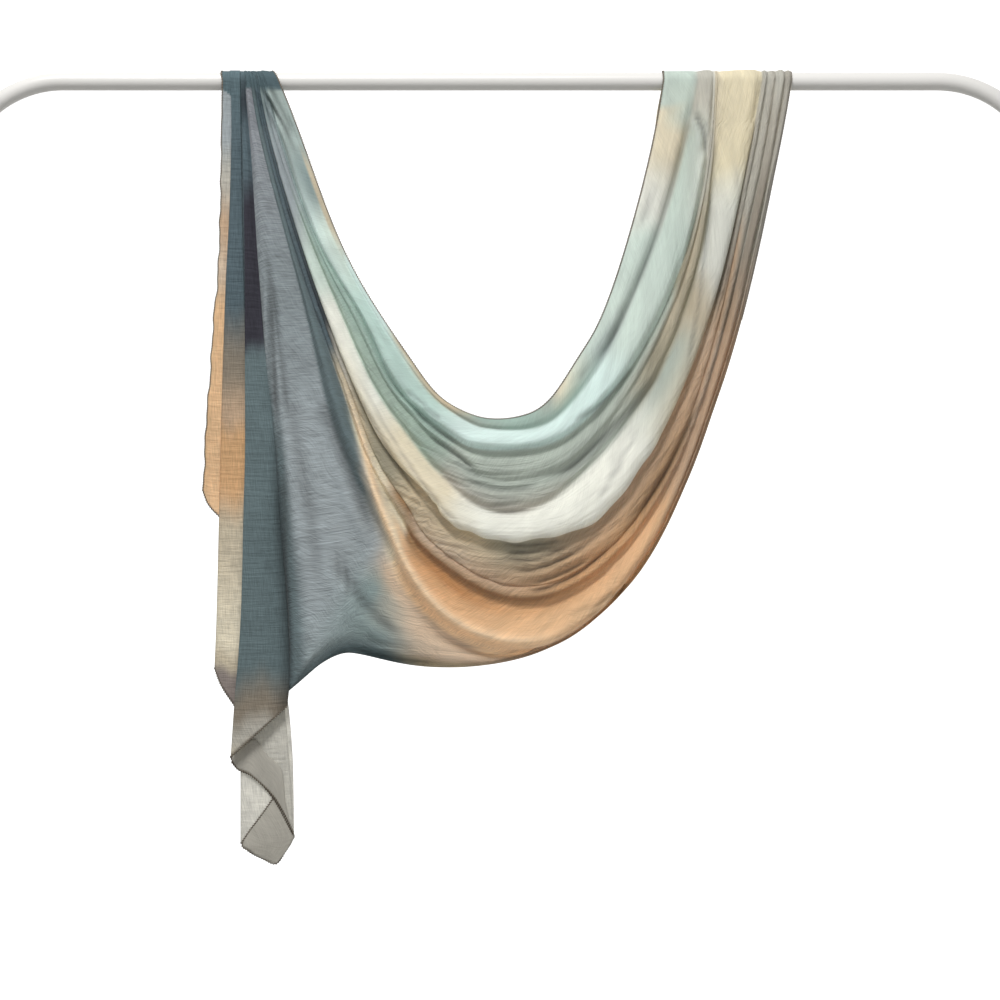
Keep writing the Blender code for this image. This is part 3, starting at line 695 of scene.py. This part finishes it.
def voile(name, through_light, open_share):
    """Dyed slub voile. Its dye, with painted shade and highlight in places, and how much its slubs and
    crinkles show, are painted on the points.
    """
    material, tree = new_material(name)
    dye, shows, amount = (
        add(tree, "Attribute", {"attribute_name": key}).outputs[socket]
        for key, socket in (("dye", "Color"), ("slubs", "Fac"), ("crinkle", "Fac"))
    )
    weave = add(tree, "UVMap", {"uv_map": "weave"}).outputs[0]

    def streaks(across_mm, along_mm, detail=2.0):
        """Noise with streaks of this size. The weave map's U runs along the warp, and V along the weft."""
        scaled = add(tree, "Mapping", Vector=weave, Scale=(1 / (across_mm * MM), 1 / (along_mm * MM), 1.0))
        return add(tree, "TexNoise", {"noise_dimensions": "2D"}, Vector=scaled.outputs[0], Scale=1.0,
                   Detail=detail, Roughness=0.6).outputs[0]

    both = maths(tree, "MULTIPLY_ADD", streaks(SLUB_LONG_MM, THREADS_MM * 2), WARP_SHOWS,
                 streaks(SLUB_MM, SLUB_LONG_MM))
    slubs = maths(tree, "MULTIPLY_ADD", maths(tree, "SUBTRACT", both, EVEN), shows, 1.0)
    strength = maths(tree, "MULTIPLY", slubs, spread(tree, streaks(*PATCH_MM), *PATCHY))
    tint = times(tree, dye, strength)
    crinkle = maths(tree, "MULTIPLY", streaks(CRINKLE_LONG_MM, CRINKLE_MM, 4.0), amount)
    height = maths(tree, "MULTIPLY_ADD", both, WEAVE_HEIGHT, crinkle)
    bump = add(tree, "Bump", Height=height, Strength=1.0, Distance=BUMP_METRES).outputs[0]
    cloth = add(tree, "BsdfPrincipled", Base_Color=tint, Roughness=0.85, IOR=1.3,
                Sheen_Weight=0.08, Sheen_Roughness=0.5, Normal=bump)
    glow = add(tree, "BsdfTranslucent", Color=tint, Normal=bump)
    lit = add(tree, "MixShader", i0=through_light, i1=cloth.outputs[0], i2=glow.outputs[0])
    hole = add(tree, "BsdfTransparent")
    sheer = add(tree, "MixShader", i0=open_share, i1=lit.outputs[0], i2=hole.outputs[0])
    add(tree, "OutputMaterial", Surface=sheer.outputs[0])
    return material


SHEER = voile("slub_voile_single", through_light=0.38, open_share=0.12)
DOUBLE = voile("slub_voile_folded", through_light=0.25, open_share=0.03)


# %% Sheets of cloth
SHELL = 0.0005  # metres: the voile's drawn thickness


def run_along(points, axis):
    """How far each point is along its line of points."""
    lengths = np.cumsum(np.linalg.norm(np.diff(points, axis=axis), axis=-1), axis=axis)
    return np.insert(lengths, 0, 0, axis=axis)


def sheet(name, points, dye, material, slot, *solids, slubs=0.6, crinkle=0.25):
    """A thin shell over a grid of points in millimetres, with its dye, which also holds any painted shade
    and highlight, and a weave map in metres. slubs and crinkle are how much thick threads and fine wrinkles
    show at each point."""
    columns, rows = points.shape[:2]
    index = np.arange(columns * rows).reshape(columns, rows)
    around = (index[:-1, :-1], index[:-1, 1:], index[1:, 1:], index[1:, :-1])
    faces = np.stack(around, axis=-1).reshape(-1, 4)
    mesh = bpy.data.meshes.new(name)
    mesh.from_pydata((points.reshape(-1, 3) * MM).tolist(), [], faces.tolist())
    mesh.shade_smooth()
    weave = mesh.uv_layers.new(name="weave")
    corners = np.zeros(len(mesh.loops), int)
    mesh.loops.foreach_get("vertex_index", corners)
    spots = np.stack([run_along(points, axis).reshape(-1) for axis in (0, 1)], axis=1)[corners] * MM
    weave.data.foreach_set("uv", spots.reshape(-1))
    paint = mesh.color_attributes.new("dye", "FLOAT_COLOR", "POINT")
    colours = np.concatenate([dye.reshape(-1, 3), np.ones((columns * rows, 1))], axis=1)
    paint.data.foreach_set("color", colours.reshape(-1))
    for key, amount in (("slubs", slubs), ("crinkle", crinkle)):
        layer = mesh.attributes.new(key, "FLOAT", "POINT")
        layer.data.foreach_set("value", np.broadcast_to(amount, points.shape[:2]).reshape(-1).astype(float))
    mesh.materials.append(material)
    cloth = new_object(name, mesh)
    shell = cloth.modifiers.new("shell", "SOLIDIFY")
    shell.thickness, shell.offset = SHELL, 0
    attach(cloth, "root")
    if solids:
        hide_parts(*solids)
    here = points[:-1, :-1]
    area = np.linalg.norm(np.cross(points[1:, :-1] - here, points[:-1, 1:] - here), axis=2).sum()
    print(name, "area", round(area * MM**2, 4), "m2,", 2 * len(faces), "triangles a side")
    return cloth


# %% [markdown]
# ## Over the rail, and the swag
#
# Where the cloth meets the rail it bends over the tube, one radius away, and runs down behind. The swag's
# ends are carried over as arcs of the same columns, so no seam shows. The bunched left end narrows on top.

# %% Over the rail
WRAP_STEPS = 16
BUNCH_LEFT, BUNCH_NARROWS = -278, 0.14
TIGHT, SETTLES = 9.6, 0.45  # mm from the rail's axis, and the share by which folds flatten on top of it


def over_rail(edge, narrows=0.0, widens=0.0):
    """Rows of points that carry this edge from the rail's front over its top to its back. narrows draws it
    towards the bunch's left end, and widens makes it lap over its neighbours. On top it lies tighter."""
    arcs = []
    middle = edge[:, 0].mean()
    for turn in np.linspace(0, math.pi, WRAP_STEPS + 1):
        share = min(turn / (math.pi / 4), 1)
        x = middle + (edge[:, 0] - middle) * (1 + widens * share)
        if narrows:
            x = BUNCH_LEFT + (x - BUNCH_LEFT) * (1 - narrows * min(turn / (math.pi / 2), 1))
        radius = TIGHT + (-edge[:, 1] - TIGHT) * (1 - SETTLES * share)
        arcs.append(np.stack([x, -radius * math.cos(turn), radius * math.sin(turn)], axis=1))
    return np.array(arcs)


# %% The lower edge, turned back
TURN_UNDER = ((0.6, 1.2), (2.6, 2.6), (6.0, 3.4), (10.0, 3.8))  # mm: how far in and behind each row lies
TURN_STARTS, TURN_STOPS, EDGE_ROWS = 12, 25, 3  # columns that it eases over, and rows that give its way


def turned_under(points, rows_from):
    """The swag with its lower edge turned back behind it, from this column on to just short of the rail."""
    inward = points[:, -1 - EDGE_ROWS] - points[:, -1]
    inward /= np.linalg.norm(inward, axis=1)[:, None]
    rows_to = len(points) - WRAP_STEPS
    at = np.arange(len(points))
    ease = soft_step(rows_from, rows_from + TURN_STARTS, at) * soft_step(rows_to, rows_to - TURN_STOPS, at)
    rows = [points[:, -1] + ease[:, None] * (inward * back + (0, behind, 0)) for back, behind in TURN_UNDER]
    return np.concatenate([points, np.stack(rows, axis=1)], axis=1)


# %% The swag
CREASE_SHADE, RIDGE_HIGHLIGHT_SHARE = 0.42, 0.95  # how much the painted crease shade darkens the cloth, and how far the long ridge is turned paler, partly dye and partly painted highlight
RAIL_SHADE = (-10.5, -8.5)  # mm: from here up the left bunch is painted dark, partly the layered cloth and partly painted shade from the rail behind the sheer cloth
SLUBS = (0.3, 0.3, 0.5, 0.5, 0.2, 0.7, 0.7, 0.5, 1.25)  # how much each fold shows of its thick threads
CRINKLES = (0.2, 0.3, 0.5, 0.6, 0.3, 0.8, 0.6, 0.3, 0.25)  # how much fine wrinkling each fold has

corner_column = COLUMNS_A_STATION * CORNER
panel_edge = swag[: corner_column + 1, -1].copy()
left_end = over_rail(swag[0], BUNCH_NARROWS)[:0:-1]
right_end = over_rail(swag[-1])[1:]
whole = np.concatenate([left_end, swag, right_end])
whole_places = np.concatenate([np.zeros(len(left_end)), places, np.full(len(right_end), len(STATIONS) - 1)])
dye = swag_dye(whole_places, fold_places)
# Painted shade darkens the colour along the creases, partly standing for the sheer cloth lying double
# there. The long ridge is painted paler: partly a paler dye there, and partly a painted highlight.
hanging_dye_shade_highlight = dye[len(left_end) : len(left_end) + len(places)]
hanging_dye_shade_highlight *= 1 - CREASE_SHADE * painted_line_mask[..., None]
hanging_dye_shade_highlight += (POTS["pale_peach"] - hanging_dye_shade_highlight) * RIDGE_HIGHLIGHT_SHARE * ridge_highlight_mask[..., None]
# Over the rail the left bunch gets the bunch pot: partly the layered cloth, partly painted shade from the
# rail behind it.
painted_rail_shade = (soft_step(*RAIL_SHADE, whole[..., 2]) * (whole[..., 0] < 0))[..., None]
dye = dye * (1 - painted_rail_shade) + POTS["bunch"] * painted_rail_shade
under = turned_under(whole, corner_column + len(left_end))
dye = np.concatenate([dye, np.repeat(dye[:, -1:], len(TURN_UNDER), axis=1)], axis=1)
rows_of = np.append(fold_places, [fold_places[-1]] * len(TURN_UNDER))
middles = np.arange(len(FOLDS)) + 0.5
thick, fine = (np.interp(rows_of, middles, amounts)[None, :] for amounts in (SLUBS, CRINKLES))
swag_sheet = sheet("swag", under, dye, SHEER, "mint_cloth", "swag_upper", "swag_lower", "right_wrap",
                   "left_wrap", slubs=thick, crinkle=fine)


# %% [markdown]
# ## The hanging end
#
# At the left the bunched cloth falls as a stack of narrow layers: a serged outer flap, a cream fold, the
# dark front strip, and two layers of the tail below. Each is a table of its edges by height, as the solids
# have it, and each carries on over the rail.

# %% Tables of the hanging end
# Each row: height, left edge, right edge, and how far in front
OUTER_FLAP = (
    (-RAIL_GAP, -278, -268.4, 10.8), (-41, -279, -268.5, 8.2), (-121, -280.5, -266, 5.2),
    (-201, -283.5, -266, 4.6), (-233, -287, -266, 4.5), (-297, -291, -266, 4.5),
    (-345, -295, -266, 4.5), (-392, -297, -266, 4.5), (-411, -298, -266, 4.5),
)
CREAM_FOLD = (
    (-RAIL_GAP, -269.6, -260.4, 12.0), (-41, -269, -259.8, 11.2), (-121, -271, -258.8, 8.8),
    (-201, -275, -257, 8.2), (-301, -278.5, -254, 8.0), (-441, -282, -252, 8.0),
    (-541, -284.5, -252, 7.8), (-589, -286.5, -253, 7.6),
)
TAIL_UPPER = (
    (-RAIL_GAP, -267, -257, 10.3), (-41, -265, -256, 8.2), (-121, -264, -251, 5.0),
    (-221, -264, -243, 4.0), (-361, -264, -232, 3.0), (-481, -264, -224, 3.0),
    (-561, -263, -219, 3.0), (-621, -262, -213, 3.0), (-652, -263, -209.5, 3.0),
    (-684, -270, -208, 3.0),
)
TAIL_LOWER = (
    (-560, -258, -222, 1.6), (-650, -259, -210.5, 1.6), (-693, -261, -208, 1.6), (-765, -261, -207, 1.6),
)
BACK_TAIL = (
    (-RAIL_GAP, 164, 290, -STANDS), (-46, 157, 280, -9.8), (-72, 157, 274, -8.8), (-121, 160, 265, -8.0),
    (-171, 168, 254, -7.5), (-221, 178, 238, -7.0), (-245, 185, 232, -7.0),
)
FLAP_END = [(-298, -411), (-293, -425), (-281, -438), (-266, -450)]
CREAM_END = [(-286.5, -589), (-281, -604), (-267, -626), (-253, -645)]
UPPER_END = [(-270, -684), (-263, -692), (-251, -697), (-229, -719), (-208, -757)]
LOWER_END = [(-261, -765), (-253, -774), (-238, -782), (-226, -787), (-215, -773), (-207, -757)]
BACK_END = [(185, -232), (208, -246), (232, -251)]
STRIP_LEFT = np.array([
    (-RAIL_GAP, -259.5), (-60, -258), (-121, -256.4), (-221, -255.5), (-361, -255.5), (-441, -257.5),
    (-521, -259.5), (-581, -263), (-612, -266),
])
STRIP_END_LEFT, STRIP_END_RIGHT = (-270.5, -679), (-213, -627)


# %% Hanging layers
EASE_MM = 120  # below the rail, the layers reach their full form
END_FROM, END_BEND = 0.6, 1.5  # the share of the height from which a slanting end shows, and how it starts
HOOK_SHARES, WAVER_SHARES = 5, 4  # one part in this many of the width is hooked back, or wavers
FOLD_LENGTH, FOLD_DRIFT = 90, 0.25  # mm and turns by which the upright folds wander
WAVER_MM, WAVER_SHORT_MM, WAVER_SHORT = 7, 3.1, 0.6  # the long and the short waves of a wavering edge


def hanging(table, end, rows, columns, bow, hook, ripples=0.0, waves=0.0, waver=0.0):
    """Points of a hanging layer. bow is how far its middle stands out, hook how far its left edge turns
    back, ripples how deep its small upright folds are, and waver how much its left edge wanders."""
    z, *sides = np.transpose(table)
    shares = np.linspace(0, 1, rows)
    heights = z[0] + (z[-1] - z[0]) * shares
    left, right, front = (smooth(-z, side, -heights) for side in sides)
    across, lowest = np.transpose(end)
    along = (across - across[0]) / (across[-1] - across[0])
    easing = np.clip((z[0] - heights) / EASE_MM, 0, 1)
    late = np.clip((shares - END_FROM) / (1 - END_FROM), 0, 1) ** END_BEND
    wander = FOLD_DRIFT * np.sin(heights / FOLD_LENGTH)
    wavering = waver * (np.sin(heights / WAVER_MM) + WAVER_SHORT * np.sin(heights / WAVER_SHORT_MM))
    points = []
    for share in np.linspace(0, 1, columns):
        drop = smooth(along, lowest, [share])[0] - z[-1]
        out = bow * math.sin(math.pi * share) - hook * (1 - min(share * HOOK_SHARES, 1)) ** 2
        folds = ripples * np.sin(2 * math.pi * (waves * share + wander))
        x = left + (right - left) * share + (1 - min(share * WAVER_SHARES, 1)) * wavering * easing
        points.append(np.stack([x, -(front + (out + folds) * easing), heights + drop * late], axis=1))
    return np.array(points)


def hung_over(points, widens):
    """A hanging layer with its top carried over the rail."""
    top = over_rail(points[:, 0], BUNCH_NARROWS, widens)[:0:-1]
    return np.concatenate([top.transpose(1, 0, 2), points], axis=1)


WANDER_MM, WANDER_LONG, WANDER_FINE_MM, WANDER_FINE = 6, 9, 2, (3.1, 31)  # heights and lengths of its waves


def dyed_down(points, dyes):
    """The dye of a hanging layer: a row of dyes by height in mm, which wander a little."""
    x, z = points[..., 0], points[..., 2]
    fine = WANDER_FINE_MM * np.sin(x / WANDER_FINE[0] + z / WANDER_FINE[1])
    wander = WANDER_MM * np.sin(x / WANDER_LONG) + fine
    return dye_of([(-height, name) for height, name in row_of(dyes)], -(z + wander))


def hung_sheet(name, points, dyes, material, slot):
    """The sheet of a hanging layer, dyed by height. It stands for the solid of its name."""
    return sheet(name + "_sheet", points[::-1], dyed_down(points, dyes)[::-1], material, slot, name)


# Each layer's row of dyes starts, above the rail, with the bunch pot: partly the layered cloth and partly
# painted shade from the rail behind it. The front strip's row below does the same.
flap = hung_over(hanging(OUTER_FLAP, FLAP_END, 200, 18, 0.6, 0.2, 0.5, 2.2, 0.5), 0.35)
flap_dyes = ("20..-8.5 bunch, -9.5..-50 grey_slate, -95 stone, -140 tan, -190 rose_beige, "
             "-230..-400 apricot, -470 peach")
outer_flap = hung_sheet("outer_flap", flap, flap_dyes, DOUBLE, "orange_cloth")
cream = hung_over(hanging(CREAM_FOLD, CREAM_END, 160, 18, 0.7, 1.4, 0.2, 1.2), 0.3)
cream_dyes = ("20 bunch, -60..-215 deep_slate, -285 dun, -330 tan, -360..-400 orange, -450 sand, "
              "-560 cream, -580 sand, -595..-660 mauve")
cream_fold = hung_sheet("cream_fold", cream, cream_dyes, DOUBLE, "cream_cloth")
upper = hung_over(hanging(TAIL_UPPER, UPPER_END, 170, 20, 0.2, 0.2), 0.6)
upper_dyes = "20 bunch, -100 deep_slate, -560 slate, -600 warm_grey, -640..-760 pearl"
tail_upper = hung_sheet("tail_upper", upper, upper_dyes, SHEER, "grey_cloth")
lower = hanging(TAIL_LOWER, LOWER_END, 90, 24, 0.2, 0.1)
tail_lower = hung_sheet("tail_lower", lower, "-550 stone, -640..-800 pearl", SHEER, "grey_cloth")


# %% The front strip
STRIP_SHARES = np.array((0, 2, 5, 9, 14, 20, 27, 35, 43, 51, 60, 68, 76, 84, 91, 96, 100)) / 100
STRIP_FRONT, EASE_ROWS, END_ROWS = 13.5, 20, 12
FLANK = 1.8  # one part in this of the width slopes down into the valley
TURN_BACK, TURN_IN = 2.4, 1.2  # mm that the very edge at the left lies behind the fold, and inside it


def strip_points():
    """The strip in front, from its folded left edge to the valley where the panel starts."""
    left_x, left_z = STRIP_LEFT[:, 1], -STRIP_LEFT[:, 0]
    left = smooth(left_z, left_x, np.minimum(-panel_edge[:, 2], left_z[-1]))
    share = np.linspace(0, 1, END_ROWS + 1)[1:, None]
    lefts, rights = (
        np.concatenate([side, side[-1] + (np.array(end) - side[-1]) * share])
        for side, end in (
            (np.stack([left, panel_edge[:, 2]], axis=1), STRIP_END_LEFT),
            (panel_edge[:, [0, 2]], STRIP_END_RIGHT),
        )
    )
    valley = -np.append(panel_edge[:, 1], [panel_edge[-1, 1]] * END_ROWS)
    ease = np.minimum(np.arange(len(valley)) / EASE_ROWS, 1)
    body = STANDS + (STRIP_FRONT - STANDS) * ease
    share = STRIP_SHARES[:, None]
    turned = ease * (share < STRIP_SHARES[1])
    front = valley + (body - valley) * np.sin(np.pi / 2 * np.minimum((1 - share) * FLANK, 1)) ** 2
    x, z = (lefts[:, i] + (rights[:, i] - lefts[:, i]) * share for i in (0, 1))
    return np.stack([x + TURN_IN * turned, TURN_BACK * turned - front, z], axis=-1)


VALLEY_SHADE, SHADE_FROM, SHADE_LOW = 0.6, 0.72, (-300, -450)  # how dark, from what share, how low in mm
strip = hung_over(strip_points(), 0.9)
strip_dye_and_shade = dyed_down(strip, "20 bunch, -20 ink, -60..-85 deep_slate, -130..-262 aubergine, "
                      "-285..-585 slate, -630 dun, -655 stone, -690 beige")
# Painted shade: the strip's right part darkens towards the valley, from 300 mm below the rail and fully
# from 450 mm.
shaded = soft_step(SHADE_FROM, 1, STRIP_SHARES)[:, None] * soft_step(*SHADE_LOW, strip[..., 2])
strip_dye_and_shade *= 1 - VALLEY_SHADE * shaded[..., None]
front_strip = sheet("front_strip_sheet", strip[::-1], strip_dye_and_shade[::-1], DOUBLE, "slate_cloth", "front_strip")


# %% [markdown]
# ## The turned corners of the tail
#
# The scarf's corner is folded over twice at the very end, so two small facets of it are double and darker.
# Each facet spans two edges that start and end in the same two places.

# %% Turned corners
TURNED = {
    "turned_corner": (
        4.3,
        (-271, -678, -264, -690.5, -254, -695, -240, -706, -228, -718, -216, -737, -207.5, -756),
        (-271, -678, -258, -669, -246, -661, -235, -676, -220, -691, -216, -721, -207.5, -756),
    ),
    "turned_tip": (
        2.6,
        (-227.5, -720, -243, -742, -259, -765.5, -253, -773, -246, -778, -236, -782, -224.5, -786),
        (-227.5, -720, -217, -737, -207, -756, -207.5, -762, -210, -767, -217, -777, -224.5, -786),
    ),
}
FACET_STEPS, FACET_ROWS, PROUD = 60, 14, 0.03  # proud is how far its middle stands out, in its widths


def facet(front, *edges):
    """Points of a facet between two edges, standing this far in front, with its middle a little proud."""
    lines = []
    for edge in edges:
        x, z = np.reshape(edge, (-1, 2)).T
        at = np.linspace(0, len(x) - 1, FACET_STEPS)
        lines.append(np.stack([through(x, at), through(z, at)], axis=1))
    shares = np.linspace(0, 1, FACET_ROWS)[:, None, None]
    flat = lines[0] + (lines[1] - lines[0]) * shares
    width = np.linalg.norm(lines[1] - lines[0], axis=1)
    depth = -front - PROUD * width * np.sin(np.pi * shares[..., 0])
    return np.stack([flat[..., 0], depth, flat[..., 1]], axis=-1)


corners = {name: facet(*numbers) for name, numbers in TURNED.items()}
for name, points in corners.items():
    dye = np.broadcast_to(POTS["stone"], points.shape)
    sheet(name, points[::-1], dye, DOUBLE, "grey_cloth", slubs=0.3, crinkle=0.1)


# %% [markdown]
# ## Behind the rail
#
# The photograph doesn't show the back. The left bunch is joined behind the rail by a small loop, and at
# the right a short end hangs down inside the swag's outline, finished plainly with the same soft folds.

# %% The back
LOOP_MIDDLE, LOOP_ACROSS, LOOP_DOWN = -250, (5, 27), (6, 46)  # half widths and drops, inner and outer
LOOP_RIPPLE_MM, LOOP_RIPPLES, LOOP_ROWS, LOOP_STEPS = 1.2, 3, 40, 49


def loop_points():
    """The small loop behind the rail: arcs of cloth, one inside the other."""
    turn = np.linspace(math.pi, 2 * math.pi, LOOP_STEPS)
    arcs = []
    for share in np.linspace(0, 1, LOOP_ROWS):
        across, down = (inner + (outer - inner) * share for inner, outer in (LOOP_ACROSS, LOOP_DOWN))
        ripple = LOOP_RIPPLE_MM * math.cos(2 * math.pi * LOOP_RIPPLES * share) * np.sin(turn) ** 2
        x, z = LOOP_MIDDLE + across * np.cos(turn), -RAIL_GAP + down * np.sin(turn)
        arcs.append(np.stack([x, STANDS + ripple, z], axis=1))
    return np.array(arcs)[::-1]


loop = loop_points()
loop_dye = dyed_down(loop, "10 deep_slate, -30..-60 slate")
back_loop = sheet("back_loop_sheet", loop, loop_dye, DOUBLE, "slate_cloth", "back_loop")
back = hanging(BACK_TAIL, BACK_END, 90, 60, -1.5, 0, 0.8, 5)
back_dye = dyed_down(back, "10..-60 cream, -120 pale_mint, -200 grey_mint, -260 sage")
back_tail = sheet("back_tail_sheet", back, back_dye, SHEER, "grey_cloth", "back_tail")


# %% [markdown]
# ## Serged hems
#
# Every cut edge is overlocked: the cloth's edge is rolled and a thread is wound round it, a stitch every
# 2.6 mm. A thin tube along the edge makes the roll, and a helix round it makes the thread.

# %% Hems
ROLL_MM, THREAD_MM, STITCH_MM, STITCH_POINTS = 0.55, 0.28, 2.6, 8
ROLL_STEP_MM, LOOP_FLAT = 2.0, 1.5  # points along the roll, and how much wider than deep a stitch is
FLECKS, TONES = 300, (0.75, 1.25)  # flecks a metre in the thread's colour, and how dark and light


def plain(name, code, roughness):
    """Spun polyester thread or a rolled edge: matt, with a faint variation along it."""
    material, tree = new_material(name)
    place = add(tree, "TexCoord").outputs["Object"]
    flecks = add(tree, "TexNoise", Vector=place, Scale=FLECKS, Detail=2.0).outputs[0]
    tone = spread(tree, flecks, *TONES)
    shader = add(tree, "BsdfPrincipled", Base_Color=times(tree, linear(code), tone), Roughness=roughness)
    add(tree, "OutputMaterial", Surface=shader.outputs[0])
    return material


THREAD = plain("overlock_thread_brown", "#5f574c", 0.8)
PALE_THREAD = plain("overlock_thread_pale", "#b5aea2", 0.8)
ROLL = plain("rolled_edge", "#7d7466", 0.9)


def even_line(points, step):
    """The line through these points, with a point every step."""
    lengths = run_along(points, 0)
    at = np.linspace(0, lengths[-1], max(int(lengths[-1] / step), 2) + 1)
    return np.stack([np.interp(at, lengths, points[:, i]) for i in range(3)], axis=1)


def overlock(name, edge, thread=THREAD):
    """A rolled edge along these points with a thread wound round it."""
    roll = tube(name, even_line(edge, ROLL_STEP_MM), ROLL_MM, ROLL, 1)
    wound_line = even_line(edge, STITCH_MM / STITCH_POINTS)
    way = np.gradient(wound_line, axis=0)
    way /= np.linalg.norm(way, axis=1)[:, None]
    side = np.cross(way, (0, 1, 0))
    side /= np.maximum(np.linalg.norm(side, axis=1), 1e-6)[:, None]
    other = np.cross(way, side)
    turn = np.arange(len(wound_line)) * 2 * math.pi / STITCH_POINTS
    reach = ROLL_MM + THREAD_MM / 2
    wound = wound_line + reach * (np.cos(turn)[:, None] * side * LOOP_FLAT + np.sin(turn)[:, None] * other)
    stitches = tube(name + "_stitches", wound, THREAD_MM, thread, 0)
    for piece in (roll, stitches):
        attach(piece, "root")
    return [roll, stitches]


top_hem = overlock("swag_top_hem", whole[:, 0])
side_from = len(left_end) + int(COLUMNS_A_STATION * 12.7)
side_hem = overlock("swag_side_hem", whole[side_from:, -1], PALE_THREAD)
flap_hem = overlock("flap_hem", np.concatenate([flap[0], flap[1:, -1]]))
cream_hem = overlock("cream_fold_hem", cream[:, -1])
strip_hem = overlock("strip_hem", strip[:, -1])
upper_hem = overlock("tail_upper_hem", upper[:, -1])
lower_hem = overlock("tail_lower_hem", lower[:, -1])
corner_hem = overlock("turned_corner_hem", corners["turned_corner"][0])
tip_hem = overlock("turned_tip_hem", corners["turned_tip"][0, :30])
back_hem = overlock("back_tail_hem", back[:, -1])
